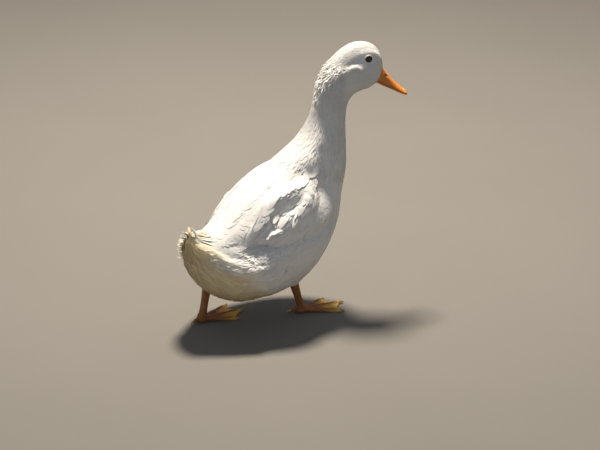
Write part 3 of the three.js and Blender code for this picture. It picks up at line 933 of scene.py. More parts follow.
class Lie:
    """The skin's surface with the way that the coat lies on it. The bare legs are left out."""

    def __init__(self, skin):
        me = skin.data
        self.co, tris = points(me), triangles(me)
        material = np.empty(len(me.polygons), np.int32)
        me.polygons.foreach_get("material_index", material)
        self.tris = tris[material != LEG_SKIN]
        self.bare = material[material != LEG_SKIN] == LID_SKIN
        self.normal = unit(spread(vertex_normals(self.co, self.tris), self.tris, 2))
        self.tree = BVHTree.FromPolygons(self.co.tolist(), self.tris.tolist())
        self.way = self.flow()
        a, b, c = self.co[self.tris].transpose(1, 0, 2)
        self.area = 0.5 * np.linalg.norm(np.cross(b - a, c - a), axis=1)

    def flow(self):
        """The way that feathers point: along the body, away from bill and eyes, down thighs and wings."""
        p = self.co
        out = p - head_place(*BILL_BASE)
        gap = np.linalg.norm(out, axis=1)[:, None]
        way = unit(along_body(p)[1] + unit(out) * BILL_PULL * np.exp(-((gap / BILL_REACH) ** 2)))
        # Thighs: down the leg.
        for side in SIDES:
            top, low = node_centre("thigh_" + side), node_centre("shank_" + side)
            gap = np.linalg.norm(p - top, axis=1)[:, None]
            way = unit(way + unit(low - top) * THIGH_PULL * np.exp(-((gap / THIGH_REACH) ** 2)))
        # Wings: along the folded wing, from the wrist to the tip, more steeply to the rear.
        x, y, z = p.T
        for side, sign in SIDES.items():
            low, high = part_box("wing_" + side)
            droop = 0.62 + 0.4 * smoothstep(-30 * MM, -90 * MM, x)
            along = unit(np.column_stack([-np.ones(len(p)), np.zeros(len(p)), -droop]))
            inside = WING_PULL * smoothstep(20 * MM, 45 * MM, y * sign)
            inside *= smoothstep(low.x - 10 * MM, low.x + 20 * MM, x)
            inside *= smoothstep(high.x + 10 * MM, high.x - 20 * MM, x)
            inside *= smoothstep(low.z, low.z + 20 * MM, z)
            inside *= smoothstep(high.z + 10 * MM, high.z - 30 * MM, z)
            inside = inside[:, None]
            way = unit(way * (1 - inside) + along * inside)
        # Round the eyes the feathers part.
        for eye in EYES:
            out = p - node_centre(eye)
            gap = np.linalg.norm(out, axis=1)[:, None]
            way = unit(way + unit(out) * EYE_PULL * smoothstep(*EYE_REACH, gap))
        way = unit(way - self.normal * dot(way, self.normal))
        way = spread(way, self.tris, 10)
        return unit(way - self.normal * dot(way, self.normal))

    def ground(self, p):
        """The nearest places on the skin, with the skin's direction and the coat's way there."""
        hits = [self.tree.find_nearest(q) for q in p]
        corners = self.tris[[hit[2] for hit in hits]]
        near = np.array([hit[0] for hit in hits])
        return near, unit(self.normal[corners].mean(1)), unit(self.way[corners].mean(1))

    def from_side(self, spots, side):
        """Places on the skin seen straight from one side, from x and z in mm."""
        y = 0.2 * SIDES[side]
        out = []
        for x, z in spots:
            hit = self.tree.ray_cast(Vector((x * MM, y, z * MM)), Vector((0, -y, 0)))
            if hit[0] is None:
                raise RuntimeError(f"no skin at x {x}, z {z}")
            out.append(hit[0])
        return np.array(out)


# ---------------------------------------------------------------- feathers

# How wide a tuft's patch is on the bake's unwrap.
BAKE_PATCH = 0.003


def feather_blade(name, along, across):
    """Models one feather's blade flat, as by hand: a grid, a second one under it, their rims joined.
    Its x is -1 to 1 across, y 0 to 1 from root to tip and z says which face a point is on."""
    deselect()
    bpy.ops.mesh.primitive_grid_add(x_subdivisions=across, y_subdivisions=along, size=2, location=(0, 0, 0))
    ob = bpy.context.object
    ob.name = ob.data.name = name
    with EditMode():
        bpy.ops.mesh.select_all(action="SELECT")
        bpy.ops.transform.resize(value=(1, 0.5, 1))
        bpy.ops.transform.translate(value=(0, 0.5, 0))
        bpy.ops.mesh.duplicate()
        bpy.ops.mesh.flip_normals()
        bpy.ops.transform.translate(value=(0, 0, -0.02 * MM))

    def at_rim(co, reach):
        return (np.abs(np.abs(co[:, 0]) - 1) < reach) | (np.abs(co[:, 1] - 0.5) > 0.5 - reach)

    select_points(ob, at_rim(points(ob.data), 1e-5))
    with EditMode():
        bpy.ops.mesh.remove_doubles(threshold=0.1 * MM)
    co = points(ob.data)
    co[:, 2] = np.where(at_rim(co, 1e-4), 0, np.where(co[:, 2] > -0.01 * MM, 1, -1))
    loops = np.empty(len(ob.data.loops), np.int32)
    ob.data.loops.foreach_get("vertex_index", loops)
    starts = np.empty(len(ob.data.polygons), np.int32)
    ob.data.polygons.foreach_get("loop_start", starts)
    bpy.data.objects.remove(ob)
    return {"co": co, "loops": loops, "starts": starts}


def paths(lie, root, yaw, length, steps, pull):
    """Walks each feather over the skin: its places, directions and the skin's own direction at each step."""
    place, normal, way = lie.ground(root)
    way = unit(way * np.cos(yaw)[:, None] + np.cross(normal, way) * np.sin(yaw)[:, None])
    walked = [(place, way, normal)]
    for _ in range(steps):
        ahead = place + way * (length / steps)[:, None]
        near, below, flow = lie.ground(ahead)
        # Past an edge a feather goes straight on; over the skin it keeps to it.
        gap = np.linalg.norm(near - ahead, axis=1, keepdims=True)
        hold = smoothstep(0.15, 0.75, dot(below, normal)) * smoothstep(12 * MM, 6 * MM, gap)
        new = ahead + (near - ahead) * hold
        normal = unit(normal * (1 - hold) + below * hold)
        turned = unit(new - place) + flow * pull * hold
        place, way = new, unit(turned - normal * dot(turned, normal))
        walked.append((place, way, normal))
    return [np.stack(values, 1) for values in zip(*walked)]


def straight_course(lie, root, tip, up, steps, clear):
    """Stiff feathers that run straight from root to tip, kept clear of the skin where it is in the way."""
    part = np.linspace(0, 1, steps + 1)[None, :, None]
    centre = (root[:, None] + (tip - root)[:, None] * part).reshape(-1, 3)
    near, normal, _ = lie.ground(centre)
    centre = np.where(dot(centre - near, normal) < clear, near + normal * clear, centre)
    centre = centre.reshape(len(root), steps + 1, 3)
    for _ in range(3):
        centre[:, 1:-1] = 0.5 * centre[:, 1:-1] + 0.25 * (centre[:, :-2] + centre[:, 2:])
    ways = unit(np.gradient(centre, axis=1))
    up = np.broadcast_to(up[:, None], ways.shape)
    return centre, ways, unit(up - ways * dot(up, ways))


def lay_feathers(
    name, lie, blade, root, rng, length, width, lift, material, *, yaw=0.1, aim=0.0, steps=6, tip=0.3,
    ragged=0.03, cup=0.05, thick=0.1 * MM, sink=0.3 * MM, narrow=0.45, fullest=0.62, tone=0.03, pull=0.12,
    roll=0.0, cream=None, uneven_lift=0.1, uneven_length=0.1, course=None,
):
    """Lays a feather at each root and joins them in one mesh. A size is a number or one for each feather.

    lift is how high the tip stands, sink how deep the root is, tip how pointed it is, narrow how wide the
    root is, fullest where it is widest, cup how hollow it is and pull how much it turns with the coat."""
    count = len(root)
    full = lambda v: np.broadcast_to(np.asarray(v, float), (count,)).copy()
    length, width, lift, ragged, tip, aim, roll = map(full, (length, width, lift, ragged, tip, aim, roll))
    turn = full(yaw) * rng.standard_normal(count) + aim
    length = length * rng.uniform(1 - uneven_length, 1 + uneven_length, count)
    width = width * rng.uniform(0.9, 1.1, count)
    lift = lift * rng.uniform(1 - uneven_lift, 1 + uneven_lift, count)
    centre, ways, normals = course or paths(lie, root, turn, length, steps, pull)

    # How far along its feather each point of each blade is, from 0 to 1.
    t, s, face = blade["co"].T
    columns, column = np.unique(np.round(t, 4), return_inverse=True)
    uneven = 1 - ragged[:, None] * rng.random((count, len(columns)))
    reach = ((1 - tip[:, None] * np.abs(columns)[None] ** 2.2) * uneven)[:, column] * s[None]
    at = np.clip(reach, 0, 1) * steps
    low = np.minimum(at.astype(int), steps - 1)
    part = (at - low)[..., None]

    def along_path(values):
        a = np.take_along_axis(values, low[..., None], 1)
        b = np.take_along_axis(values, low[..., None] + 1, 1)
        return a + (b - a) * part

    c, w, n = along_path(centre), unit(along_path(ways)), unit(along_path(normals))
    half = width[:, None] / 2 * np.interp(reach, (0, fullest, 0.9, 1), (narrow, 1, 0.93, 0.8))
    height = -sink + (lift[:, None] + sink) * reach - cup * half * t[None] ** 2
    # A feather rolled about its shaft has one edge standing out: the one at x = 1 if the roll is above 0.
    tilt = np.sin(roll)[:, None]
    height = height + half * (tilt * t[None] + 0.6 * np.abs(tilt)) * smoothstep(0, 0.5, reach)
    height = height + face[None] * thick * np.interp(reach, (0, 0.2, 0.7, 1), (0.8, 1, 0.6, 0.2))
    co = c + np.cross(w, n) * (t[None] * half)[..., None] + n * height[..., None]

    # A feather that would pass the CAD model's box bends back inside it, its under face a little deeper.
    low_box, high_box = np.array(CAD_BOX[0]) + COAT_ROOM, np.array(CAD_BOX[1]) - COAT_ROOM
    past = (np.minimum(co.min(1) - low_box, 0) + np.maximum(co.max(1) - high_box, 0))[:, None]
    under = 0.1 * MM * (1 - face)[None, :, None]
    co = np.clip(co - past * (reach**2)[..., None], low_box + under, high_box - under)

    me = blades_mesh(name, blade, co)
    loops = np.empty(len(me.loops), np.int32)
    me.loops.foreach_get("vertex_index", loops)
    # On the bake's unwrap each tuft is a small patch at its root's place.
    shape = (count, len(t))
    patch = np.stack([np.broadcast_to(t / 2, shape), np.broadcast_to(s - 0.5, shape)], -1)
    patch = np.clip(body_unwrap(root), 0.004, 0.996)[:, None] + BAKE_PATCH * patch
    vane = np.stack([t[None] * half, reach * length[:, None]], -1)
    for layer, uv in (("OFBake", patch), ("Vane", vane)):
        uv = uv.reshape(-1, 2)[loops].astype(np.float32).ravel()
        me.uv_layers.new(name=layer).uv.foreach_set("vector", uv)
    me.uv_layers["OFBake"].active_render = True
    store(me, "tone", np.repeat(1 - tone * rng.random(count), len(t)))
    cream = cream_at(centre[:, steps // 2]) if cream is None else full(cream)
    store(me, "cream", np.repeat(cream, len(t)))
    me.materials.append(material)
    ob = bpy.data.objects.new(name, me)
    bpy.context.scene.collection.objects.link(ob)
    return ob


def blades_mesh(name, blade, co):
    """One mesh with a copy of the blade for each feather, from each copy's points."""
    count, verts = co.shape[:2]
    me = bpy.data.meshes.new(name)
    me.vertices.add(count * verts)
    me.vertices.foreach_set("co", co.reshape(-1).astype(np.float32))
    loops = (blade["loops"][None] + (np.arange(count) * verts)[:, None]).ravel()
    starts = (blade["starts"][None] + (np.arange(count) * len(blade["loops"]))[:, None]).ravel()
    me.loops.add(len(loops))
    me.loops.foreach_set("vertex_index", loops.astype(np.int32))
    me.polygons.add(len(starts))
    me.polygons.foreach_set("loop_start", starts.astype(np.int32))
    me.polygons.foreach_set("use_smooth", np.ones(len(starts), bool))
    me.update(calc_edges=True)
    me.validate()
    me.set_sharp_from_angle(angle=math.radians(75))
    return me


def body_unwrap(p):
    """Places on an unwrap of the body: how far along it, with more room for the head, and how far round."""
    far, way, near = along_body(p)
    side = np.cross(way, (0.0, 0.0, 1.0))
    side = unit(np.where(np.linalg.norm(side, axis=1, keepdims=True) < 0.2, (0.0, -1.0, 0.0), side))
    up = unit(np.cross(side, way))
    angle = np.arctan2(dot(p - near, side)[:, 0], dot(p - near, up)[:, 0])
    along = np.interp(far / MM, (-30, 0, 110, 220, 620), (0.0, 0.05, 0.36, 0.56, 1.0))
    return np.column_stack([along, 0.5 + angle / (2 * math.pi) * 0.99])


def spaced(lie, rng, spacing_at, density, allowed=None):
    """Roots spread over the skin no nearer together than the coat's spacing, with the skin's direction."""
    middle = lie.co[lie.tris].mean(1)
    spacing = spacing_at(middle) / density
    keep = ~lie.bare
    if allowed is not None:
        keep &= allowed(middle)
    weight = np.where(keep, lie.area / spacing**2, 0)
    # Five tries for each root that there is room for.
    number = int(weight.sum() * 5)
    pick = rng.choice(len(weight), number, p=weight / weight.sum())
    u, v = rng.random((2, number))
    flip = u + v > 1
    u, v = np.where(flip, 1 - u, u), np.where(flip, 1 - v, v)
    a, b, c = lie.co[lie.tris[pick]].transpose(1, 0, 2)
    p = a + (b - a) * u[:, None] + (c - a) * v[:, None]
    gap = spacing[pick]
    tree = KDTree(number)
    for i, q in enumerate(p):
        tree.insert(q, i)
    tree.balance()
    free, roots = np.ones(number, bool), []
    for i in range(number):
        if free[i]:
            roots.append(i)
            for _, j, _ in tree.find_range(p[i], gap[i]):
                free[j] = False
    return p[roots], unit(lie.normal[lie.tris[pick[roots]]].mean(1))


# ---------------------------------------------------------------- coats


# How long, wide and closely set the feathers are, in mm, at these distances along the body line.
FAR = (0, 25, 60, 105, 160, 210, 280, 360, 470, 560)
LENGTH = (4.2, 6.0, 7.5, 10, 14, 20, 27, 31, 34, 34)
WIDTH = (0.9, 1.15, 1.4, 2.3, 4.2, 8, 13, 16, 17, 14)
SPACING = (0.95, 1.1, 1.3, 1.9, 2.7, 3.9, 4.9, 5.4, 5.5, 5.0)

# Where the head's and the neck's coats end along the body line, in mm.
HEAD_END, NECK_END = 100, 225

_made = {}


def made(key, maker, *args):
    """Makes a thing once and keeps it for the other operators."""
    if key not in _made:
        _made[key] = maker(*args)
    return _made[key]


def the_lie():
    """The skin's surface and the coat's way on it."""
    return made("lie", Lie, bpy.data.objects["skin"])


def blade(kind, along, across):
    """The blade that feathers of one kind are copied from."""
    return made(kind, feather_blade, kind + " blade", along, across)


def feather_material(context):
    """The one material of all feathers."""
    return made("material", material_of, "White feather", feather_keratin, context.scene.duck_colours)


def spread_roots(coat):
    """Roots all over the body, with the skin's way and how far along the body they are in mm."""

    def spacing(p):
        gap = np.interp(along_body(p)[0] / MM, FAR, SPACING)
        return np.minimum(gap, 0.85 + 0.05 * np.maximum(eye_gap(p) / MM - 6, 0)) * MM

    p, n = spaced(the_lie(), np.random.default_rng(coat.seed), spacing, coat.density)
    return p, n, along_body(p)[0] / MM


def add_coat(context, name, chosen, blade, change, roots=None, **options):
    """Lays the general coat over the chosen roots as one piece."""
    coat = context.scene.duck_coat
    p, n, far = roots or made("roots", spread_roots, coat)
    pick = chosen(p, n, far)
    if not pick.any():
        raise RuntimeError(f"no feathers for {name}")
    p, n, far = p[pick], n[pick], far[pick]
    # Beside an eye the feathers are shorter, so that none lies over it.
    room = np.maximum(1.6 * MM, (eye_gap(p) - 4.9 * MM) * 0.9)
    length = np.minimum(np.interp(far, FAR, LENGTH) * MM, room)
    width = np.minimum(np.interp(far, FAR, WIDTH) * MM, length * 0.6)
    # Over the tops of the legs the feathers are short and lie close.
    for side in SIDES:
        low, high = (np.array(corner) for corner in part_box("thigh_" + side))
        off = (p - (low + high) / 2) / ((high - low) / 2 + 6 * MM)
        thigh = smoothstep(1.5, 0.9, np.linalg.norm(off, axis=1))
        length, width = length * (1 - 0.6 * thigh), width * (1 - 0.45 * thigh)
    values = {"length": length, "width": width, "lift": coat_depth(p, coat), **options}
    change(p, n, values)
    rng = np.random.default_rng(coat.seed + len(name))
    ob = lay_feathers(name, the_lie(), blade, p, rng, material=feather_material(context), **values)
    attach(ob, "root")


# The band of a folded wing that its own rows cover: how high its middle is at the wing's front, how far that
# drops to the rear, how far the band goes below and above it, how far out from the body's middle it starts
# and which part of the wing's length it takes up.
BAND_HEIGHT, BAND_DROP, BAND_BELOW, BAND_ABOVE, BAND_OUT = 205 * MM, 36 * MM, 28 * MM, 20 * MM, 35 * MM
BAND_PART = 0.62


def on_wing(p):
    """Which points lie on a folded wing, behind its front third."""
    out = np.zeros(len(p), bool)
    for side, sign in SIDES.items():
        low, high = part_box("wing_" + side)
        x = (p[:, 0] - low.x) / (high.x - low.x)
        above = p[:, 2] - BAND_HEIGHT + (1 - x) * BAND_DROP
        inside = (x > 0) & (x < BAND_PART) & (above > -BAND_BELOW) & (above < BAND_ABOVE)
        out |= inside & (p[:, 1] * sign > BAND_OUT)
    return out


class DUCK_OT_head_coat(bpy.types.Operator):
    """Lays the short close feathers of the head"""

    bl_idname = "duck.head_coat"
    bl_label = "Head feathers"

    def execute(self, context):
        def change(p, n, v):
            # The nape's feathers are ruffled, and so is a tuft on the cheek.
            nape, cheek = nape_at(p), ear_at(p)
            tufts = 2.4 + 2.0 * clumps(p, 5) + 2.6 * np.abs(clumps(p + 3, 3))
            v["lift"] = v["lift"] * (1 + 0.8 * cheek) + nape * tufts * MM
            v["yaw"] = 0.1 + 0.15 * nape + 0.2 * cheek
            v["aim"] = 0.4 * clumps(p + 1, 12) * nape
            v["ragged"] = 0.1 + 0.15 * nape
            v["length"] = v["length"] * (1 - 0.1 * nape)
            v["width"] = v["width"] * (1 + 0.3 * nape)

        options = dict(steps=3, thick=0.05 * MM, sink=0.15 * MM, tip=0.6, narrow=0.7, cup=0.12, fullest=0.45)
        far = made("roots", spread_roots, context.scene.duck_coat)[2]
        middle = float(np.median(far[far < HEAD_END]))
        for name, start, end in (("face_feathers", -1, middle), ("crown_feathers", middle, HEAD_END)):
            chosen = lambda p, n, far: (far >= start) & (far < end)
            add_coat(context, name, chosen, blade("small", 3, 2), change, **options)
        return {"FINISHED"}


class DUCK_OT_neck_coat(bpy.types.Operator):
    """Lays the narrow feathers of the neck"""

    bl_idname = "duck.neck_coat"
    bl_label = "Neck feathers"

    def execute(self, context):
        def change(p, n, v):
            nape = nape_at(p)
            v["lift"] = v["lift"] + nape * (1.8 + 2.2 * clumps(p, 8) + 2.6 * np.abs(clumps(p + 3, 4))) * MM
            v["yaw"] = 0.06 + 0.14 * nape
            v["aim"] = 0.25 * clumps(p + 1, 16) * nape
            v["ragged"] = 0.08 + 0.14 * nape

        options = dict(
            steps=4, thick=0.06 * MM, sink=0.2 * MM, tip=0.45, narrow=0.6, cup=0.08, fullest=0.5, tone=0.1
        )
        chosen = lambda p, n, far: (far >= HEAD_END) & (far < NECK_END)
        add_coat(context, "neck_feathers", chosen, blade("neck", 4, 2), change, **options)
        return {"FINISHED"}


class DUCK_OT_body_coat(bpy.types.Operator):
    """Lays the body's feathers: breast and back, then belly, flanks and the fluff under the tail"""

    bl_idname = "duck.body_coat"
    bl_label = "Body feathers"

    def execute(self, context):
        def smooth(p, n, v):
            # Close and smooth on the back and breast, short and low where the wing's own rows cover it.
            x, y, z = (p / MM).T
            wing, back = on_wing(p), smoothstep(0.2, 0.5, n[:, 2])
            neck, end = smoothstep(-10, 10, x) * smoothstep(212, 226, z), smoothstep(-160, -178, x)
            v["lift"] = v["lift"] * np.where(wing, 0.5, 0.4 - 0.1 * back)
            v["length"] = v["length"] * np.where(wing, 0.7, 1) * (1 - 0.35 * neck) * (1 - 0.5 * end)
            v["width"] = v["width"] * (1 - 0.15 * neck) * (1 - 0.6 * end)

        options = dict(steps=5, thick=0.05 * MM, tip=0.3, yaw=0.05, uneven_lift=0.04, tone=0.02)
        firm = lambda p, n, far: (far >= NECK_END) & (soft_at(p, n) < 0.5)
        for side in SIDES:
            here = lambda p, n, far: firm(p, n, far) & ((p[:, 1] >= 0) == (side == "left"))
            name = "back_and_breast_feathers_" + side
            add_coat(context, name, here, blade("body", 4, 6), smooth, **options)

        def loose(p, n, v):
            # Fine loose feathers that hang together in soft locks, and stand out along the rear edge.
            x, y, z = (p / MM).T
            fluff, ruffle, lock = fluff_at(p), ruffled_at(p), clumps(p, 12)
            rear = smoothstep(-172, -190, x) * smoothstep(105, 135, z)
            ruffled = ruffle * (0.6 + 0.8 * clumps(p, 6))
            v["length"] = (20 - 3 * fluff - 9 * ruffle) * MM
            v["width"] = (4.2 - 0.8 * fluff + 0.2 * ruffle) * MM
            v["lift"] = (1.1 + 1.4 * fluff + 0.8 * lock * fluff + (3.5 + 2 * lock) * rear + ruffled) * MM
            v["aim"] = 0.3 * clumps(p + 1, 18) * fluff + 0.9 * clumps(p + 2, 8) * ruffle
            v["yaw"] = 0.08 + 0.12 * rear + 0.2 * ruffle
            v["roll"] = 0.2 * ruffle * np.where(y < 0, -1, 1)

        coat, lie = context.scene.duck_coat, the_lie()
        facing = unit(lie.normal[lie.tris].mean(1))
        options = dict(
            steps=4, thick=0.05 * MM, tip=0.6, ragged=0.25, narrow=0.6, cup=0.1, fullest=0.45, tone=0.02
        )
        every = lambda p, n, far: np.ones(len(p), bool)
        for number, (side, sign) in enumerate(SIDES.items()):
            here = lambda q: (soft_at(q, facing) > 0.35) & (q[:, 1] * sign > -MM)
            gap = lambda q: np.interp(ruffled_at(q), (0, 1), (3.3, 2.4)) * MM
            rng = np.random.default_rng(coat.seed + 9 + number)
            p, n = spaced(lie, rng, gap, coat.density, here)
            roots = (p, n, along_body(p)[0] / MM)
            add_coat(context, "soft_feathers_" + side, every, blade("neck", 4, 2), loose, roots, **options)
        return {"FINISHED"}


# ---------------------------------------------------------------- wings and tail


def lay_between(context, name, blade, start, end, rng, width, lift, up=None, clear=0.4 * MM, **shape):
    """Lays feathers from start to end: over the coat, or straight if it is told which way is up."""
    lie, ahead = the_lie(), end - start
    if up is None:
        _, normal, way = lie.ground(start)
        shape["aim"] = np.arctan2(dot(ahead, np.cross(normal, way))[:, 0], dot(ahead, way)[:, 0])
    else:
        shape["course"] = straight_course(lie, start, end, up, shape["steps"], clear)
    material, length = feather_material(context), np.linalg.norm(ahead, axis=1)
    return lay_feathers(name, lie, blade, start, rng, length, width, lift, material, **shape)


def row(start, end, number):
    """Evenly spaced side-on places from one end to the other."""
    start, end = np.array(start), np.array(end)
    return [start + (end - start) * k / (number - 1) for k in range(number)]


# Rows of wing feathers, from the ones underneath to the ones on top, as x and z in mm seen from the side:
# the first and last root, the first and last tip, how many, how wide, how high the tips stand, how pointed.
WING_ROWS = (
    ("primaries", (-44, 184), (-30, 171), (-118, 161), (-92, 154), 5, 13, 1.2, 0.7),
    ("secondaries", (-58, 203), (-16, 184), (-112, 164), (-56, 155), 8, 15, 1.5, 0.35),
    ("greater_coverts", (-52, 211), (-16, 199), (-88, 182), (-48, 177), 8, 12, 1.9, 0.34),
    ("median_coverts", (-38, 218), (-8, 214), (-64, 197), (-30, 195), 7, 10, 2.1, 0.32),
    ("lesser_coverts", (-24, 226), (4, 228), (-40, 210), (-14, 210), 7, 8, 1.9, 0.32),
    ("lower_scapulars", (-78, 213), (-38, 241), (-111, 177), (-64, 220), 7, 18, 1.6, 0.4),
    ("scapulars", (-34, 243), (40, 265), (-60, 222), (6, 241), 9, 18, 1.6, 0.4),
    ("tertials", (-90, 200), (-74, 212), (-131, 151), (-110, 178), 5, 20, 2.2, 0.6),
)

# Ruffled feathers that stand out from the right side, one by one: root and tip as x and z in mm, width,
# how high the tip stands in mm and how far it is rolled to show its edge. The left side has the first few.
STRAY_FEATHERS = (
    ((-14, 190), (-44, 176), 15, 3.0, 0.3),
    ((-20, 184), (-42, 173), 10, 3.0, 0.35),
    ((-64, 205), (-76, 186), 10, 5.0, 0.55),
    ((-78, 202), (-73, 182), 8, 4.5, 0.6),
    ((-60, 184), (-87, 171), 12, 5.0, 0.65),
    ((-66, 178), (-92, 168), 9, 4.0, 0.5),
    ((-40, 199), (-54, 181), 8, 5.0, 0.75),
    ((-34, 206), (-46, 190), 6, 4.0, 0.6),
    ((-12, 165), (-30, 152), 8, 3.4, 0.6),
    ((-30, 156), (-54, 149), 8, 3.4, 0.6),
)
STRAYS = {"left": 3, "right": len(STRAY_FEATHERS)}


class DUCK_OT_wing_coat(bpy.types.Operator):
    """Lays each folded wing's rows, from primaries to tertials, with the ruffled feathers that stand out"""

    bl_idname = "duck.wing_coat"
    bl_label = "Wing feathers"

    def execute(self, context):
        lie, long, small = the_lie(), blade("long", 10, 6), blade("stray", 6, 4)
        for seed, (side, out) in enumerate(SIDES.items(), context.scene.duck_coat.seed + 1):
            rng = np.random.default_rng(seed)
            options = dict(
                steps=9, yaw=0.025, pull=0.0, thick=0.14 * MM, cup=0.08, narrow=0.4, fullest=0.5,
                sink=0.2 * MM, roll=0.08 * out, uneven_length=0.04,
            )
            parts = []
            for name, first, last, first_tip, last_tip, number, width, lift, point in WING_ROWS:
                root = lie.from_side(row(first, last, number), side) + rng.normal(0, 0.6 * MM, (number, 3))
                tip = lie.from_side(row(first_tip, last_tip, number), side)
                size = (width * MM, lift * MM)
                parts.append(lay_between(context, name, long, root, tip, rng, *size, tip=point, **options))
            roots, tips, *sizes = zip(*STRAY_FEATHERS[: STRAYS[side]])
            root, tip = lie.from_side(roots, side), lie.from_side(tips, side)
            width, lift, roll = np.array(sizes)
            strays = lay_between(
                context, "strays", small, root, tip, rng, width * MM, lift * MM, steps=6, yaw=0.04, pull=0.0,
                tip=0.62, ragged=0.06, cup=0.1, narrow=0.55, fullest=0.45, roll=roll * out,
            )
            parts.append(strays)
            ob = join("wing_feathers_" + side, parts)
            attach(ob, "root")
        return {"FINISHED"}


FAN_FEATHERS, RIM_TUFTS, TAIL_STEPS = 45, 130, 9
# Root and tip of the feather that stands up from the tail, in mm.
STRAY_TAIL_FEATHER = ((-182, -8, 173), (-199, -10, 196))


def fan(u):
    """Root and tip of the tail feather at u, from -1 to 1 across the tail's fan."""
    root = (-163 + 4 * u * u, 46 * u, 176 - 38 * u * u)
    tip = (-195 + 8 * u * u, 14 * u, 177 - 8 * u * u)
    return np.array((root, tip)) * MM


class DUCK_OT_tail_coat(bpy.types.Operator):
    """Lays the tail's fan, the stray feather that stands up and the tufts along the rump's far edge"""

    bl_idname = "duck.tail_coat"
    bl_label = "Tail feathers"

    def execute(self, context):
        lie, long = the_lie(), blade("long", 10, 6)
        rng = np.random.default_rng(context.scene.duck_coat.seed + 5)
        across = np.linspace(-1, 1, FAN_FEATHERS)
        # The outer feathers lie under the middle ones.
        across = across[np.argsort(-np.abs(across))]
        ends = np.array([fan(u) for u in across]) + rng.normal(0, 1.2 * MM, (FAN_FEATHERS, 2, 3))
        root, tip = ends[:, 0], ends[:, 1]
        root = root - lie.ground(root)[1] * 1.2 * MM
        up = unit(np.column_stack([np.full(FAN_FEATHERS, 0.1), 0.8 * across, np.ones(FAN_FEATHERS)]))
        fan_feathers = lay_between(
            context, "fan", long, root, tip, rng, 7 * MM, 0.3 * MM, up, -1.2 * MM, steps=TAIL_STEPS, tip=0.7,
            ragged=0.12, thick=0.06 * MM, cup=0.0, narrow=0.3, fullest=0.5, cream=0.4, uneven_lift=0.6,
        )
        root, tip = (np.array([end]) * MM for end in STRAY_TAIL_FEATHER)
        up = unit(np.array([(-0.3, -0.4, 0.75)]))
        stray = lay_between(
            context, "stray", long, root, tip, rng, 7 * MM, 0.0, up, steps=TAIL_STEPS, tip=0.6, ragged=0.02,
            thick=0.2 * MM, cup=0.15, narrow=0.9, fullest=0.2, cream=0.0, sink=0.0,
        )
        along = rng.uniform(0, len(RIM) - 1, RIM_TUFTS)
        root = np.column_stack([np.interp(along, range(len(RIM)), axis) for axis in zip(*RIM)]) * MM
        root = lie.ground(root + rng.normal(0, 3 * MM, root.shape))[0] + np.array((2, -1, -1)) * MM
        tip = root + (np.array((-10, 8, 8)) + rng.normal(0, 2.2, root.shape)) * MM
        up = unit(np.tile((0.2, 0.1, 1.0), (RIM_TUFTS, 1)))
        tufts = lay_between(
            context, "rim", long, root, tip, rng, 4.6 * MM, 0.0, up, steps=TAIL_STEPS, tip=0.45, ragged=0.4,
            thick=0.06 * MM, cup=0.1, narrow=0.9, fullest=0.4, cream=0.25, sink=0.0, uneven_length=0.3,
        )
        ob = join("tail_feathers", [fan_feathers, stray, tufts])
        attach(ob, "root")
        return {"FINISHED"}


# ---------------------------------------------------------------- eyes, bill and claws


# The iris and the bulge of the cornea over it end this many degrees from the pupil's middle. The bulge is
# this part of the eye's radius.
IRIS_ANGLE, CORNEA_ANGLE, CORNEA_BULGE = 46, 38, 0.05


class DUCK_OT_eyes(bpy.types.Operator):
    """Makes the two eyes, each a dark ball with a clear bulging cornea"""

    bl_idname = "duck.eyes"
    bl_label = "Eyes"

    def execute(self, context):
        material = material_of("Dark eye", wet_eye)
        for side in SIDES:
            deselect()
            radius = eye_radius(side)
            bpy.ops.mesh.primitive_uv_sphere_add(segments=56, ring_count=32, radius=radius)
            ob = bpy.context.object
            ob.name = ob.data.name = "eyeball_" + side
            co = points(ob.data)
            angle = np.degrees(np.arccos(np.clip(co[:, 2] / radius, -1, 1)))
            co = co * (1 + CORNEA_BULGE * smoothstep(CORNEA_ANGLE, 0, angle))[:, None]
            turn = np.array(Vector(eye_way(side)).to_track_quat("Z", "Y").to_matrix())
            set_points(ob.data, co @ turn.T + node_centre("eye_" + side))
            store(ob.data, "from_pupil", np.clip(angle / IRIS_ANGLE, 0, 1))
            bpy.ops.object.shade_smooth()
            ob.data.materials.append(material)
            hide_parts("eye_" + side)
            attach(ob, "root")
        return {"FINISHED"}


# The left nostril's middle, in mm before the head is turned; the right one mirrors it. Then the way that it
# runs, half its length and width, and its depth.
NOSTRIL = (174.5, 7.5, 384)
NOSTRIL_WAY = (0.85, 0, -0.53)
NOSTRIL_LENGTH, NOSTRIL_WIDTH, NOSTRIL_DEPTH = 3.4 * MM, 1.7 * MM, 1.6 * MM


def nostril_at(co):
    """How near each point of the bill is to a nostril's middle, from 0 to 1."""
    out = np.zeros(len(co))
    x, y, z = NOSTRIL
    for sign in SIDES.values():
        v = co - head_place(x, y * sign, z)
        v = co - co[(v**2).sum(1).argmin()]
        along = (v * head_way(*NOSTRIL_WAY)).sum(1)
        across = np.sqrt(np.maximum((v**2).sum(1) - along**2, 0))
        gap = (along / NOSTRIL_LENGTH) ** 2 + (across / NOSTRIL_WIDTH) ** 2
        out = np.maximum(out, np.exp(-(gap**2)))
    return out


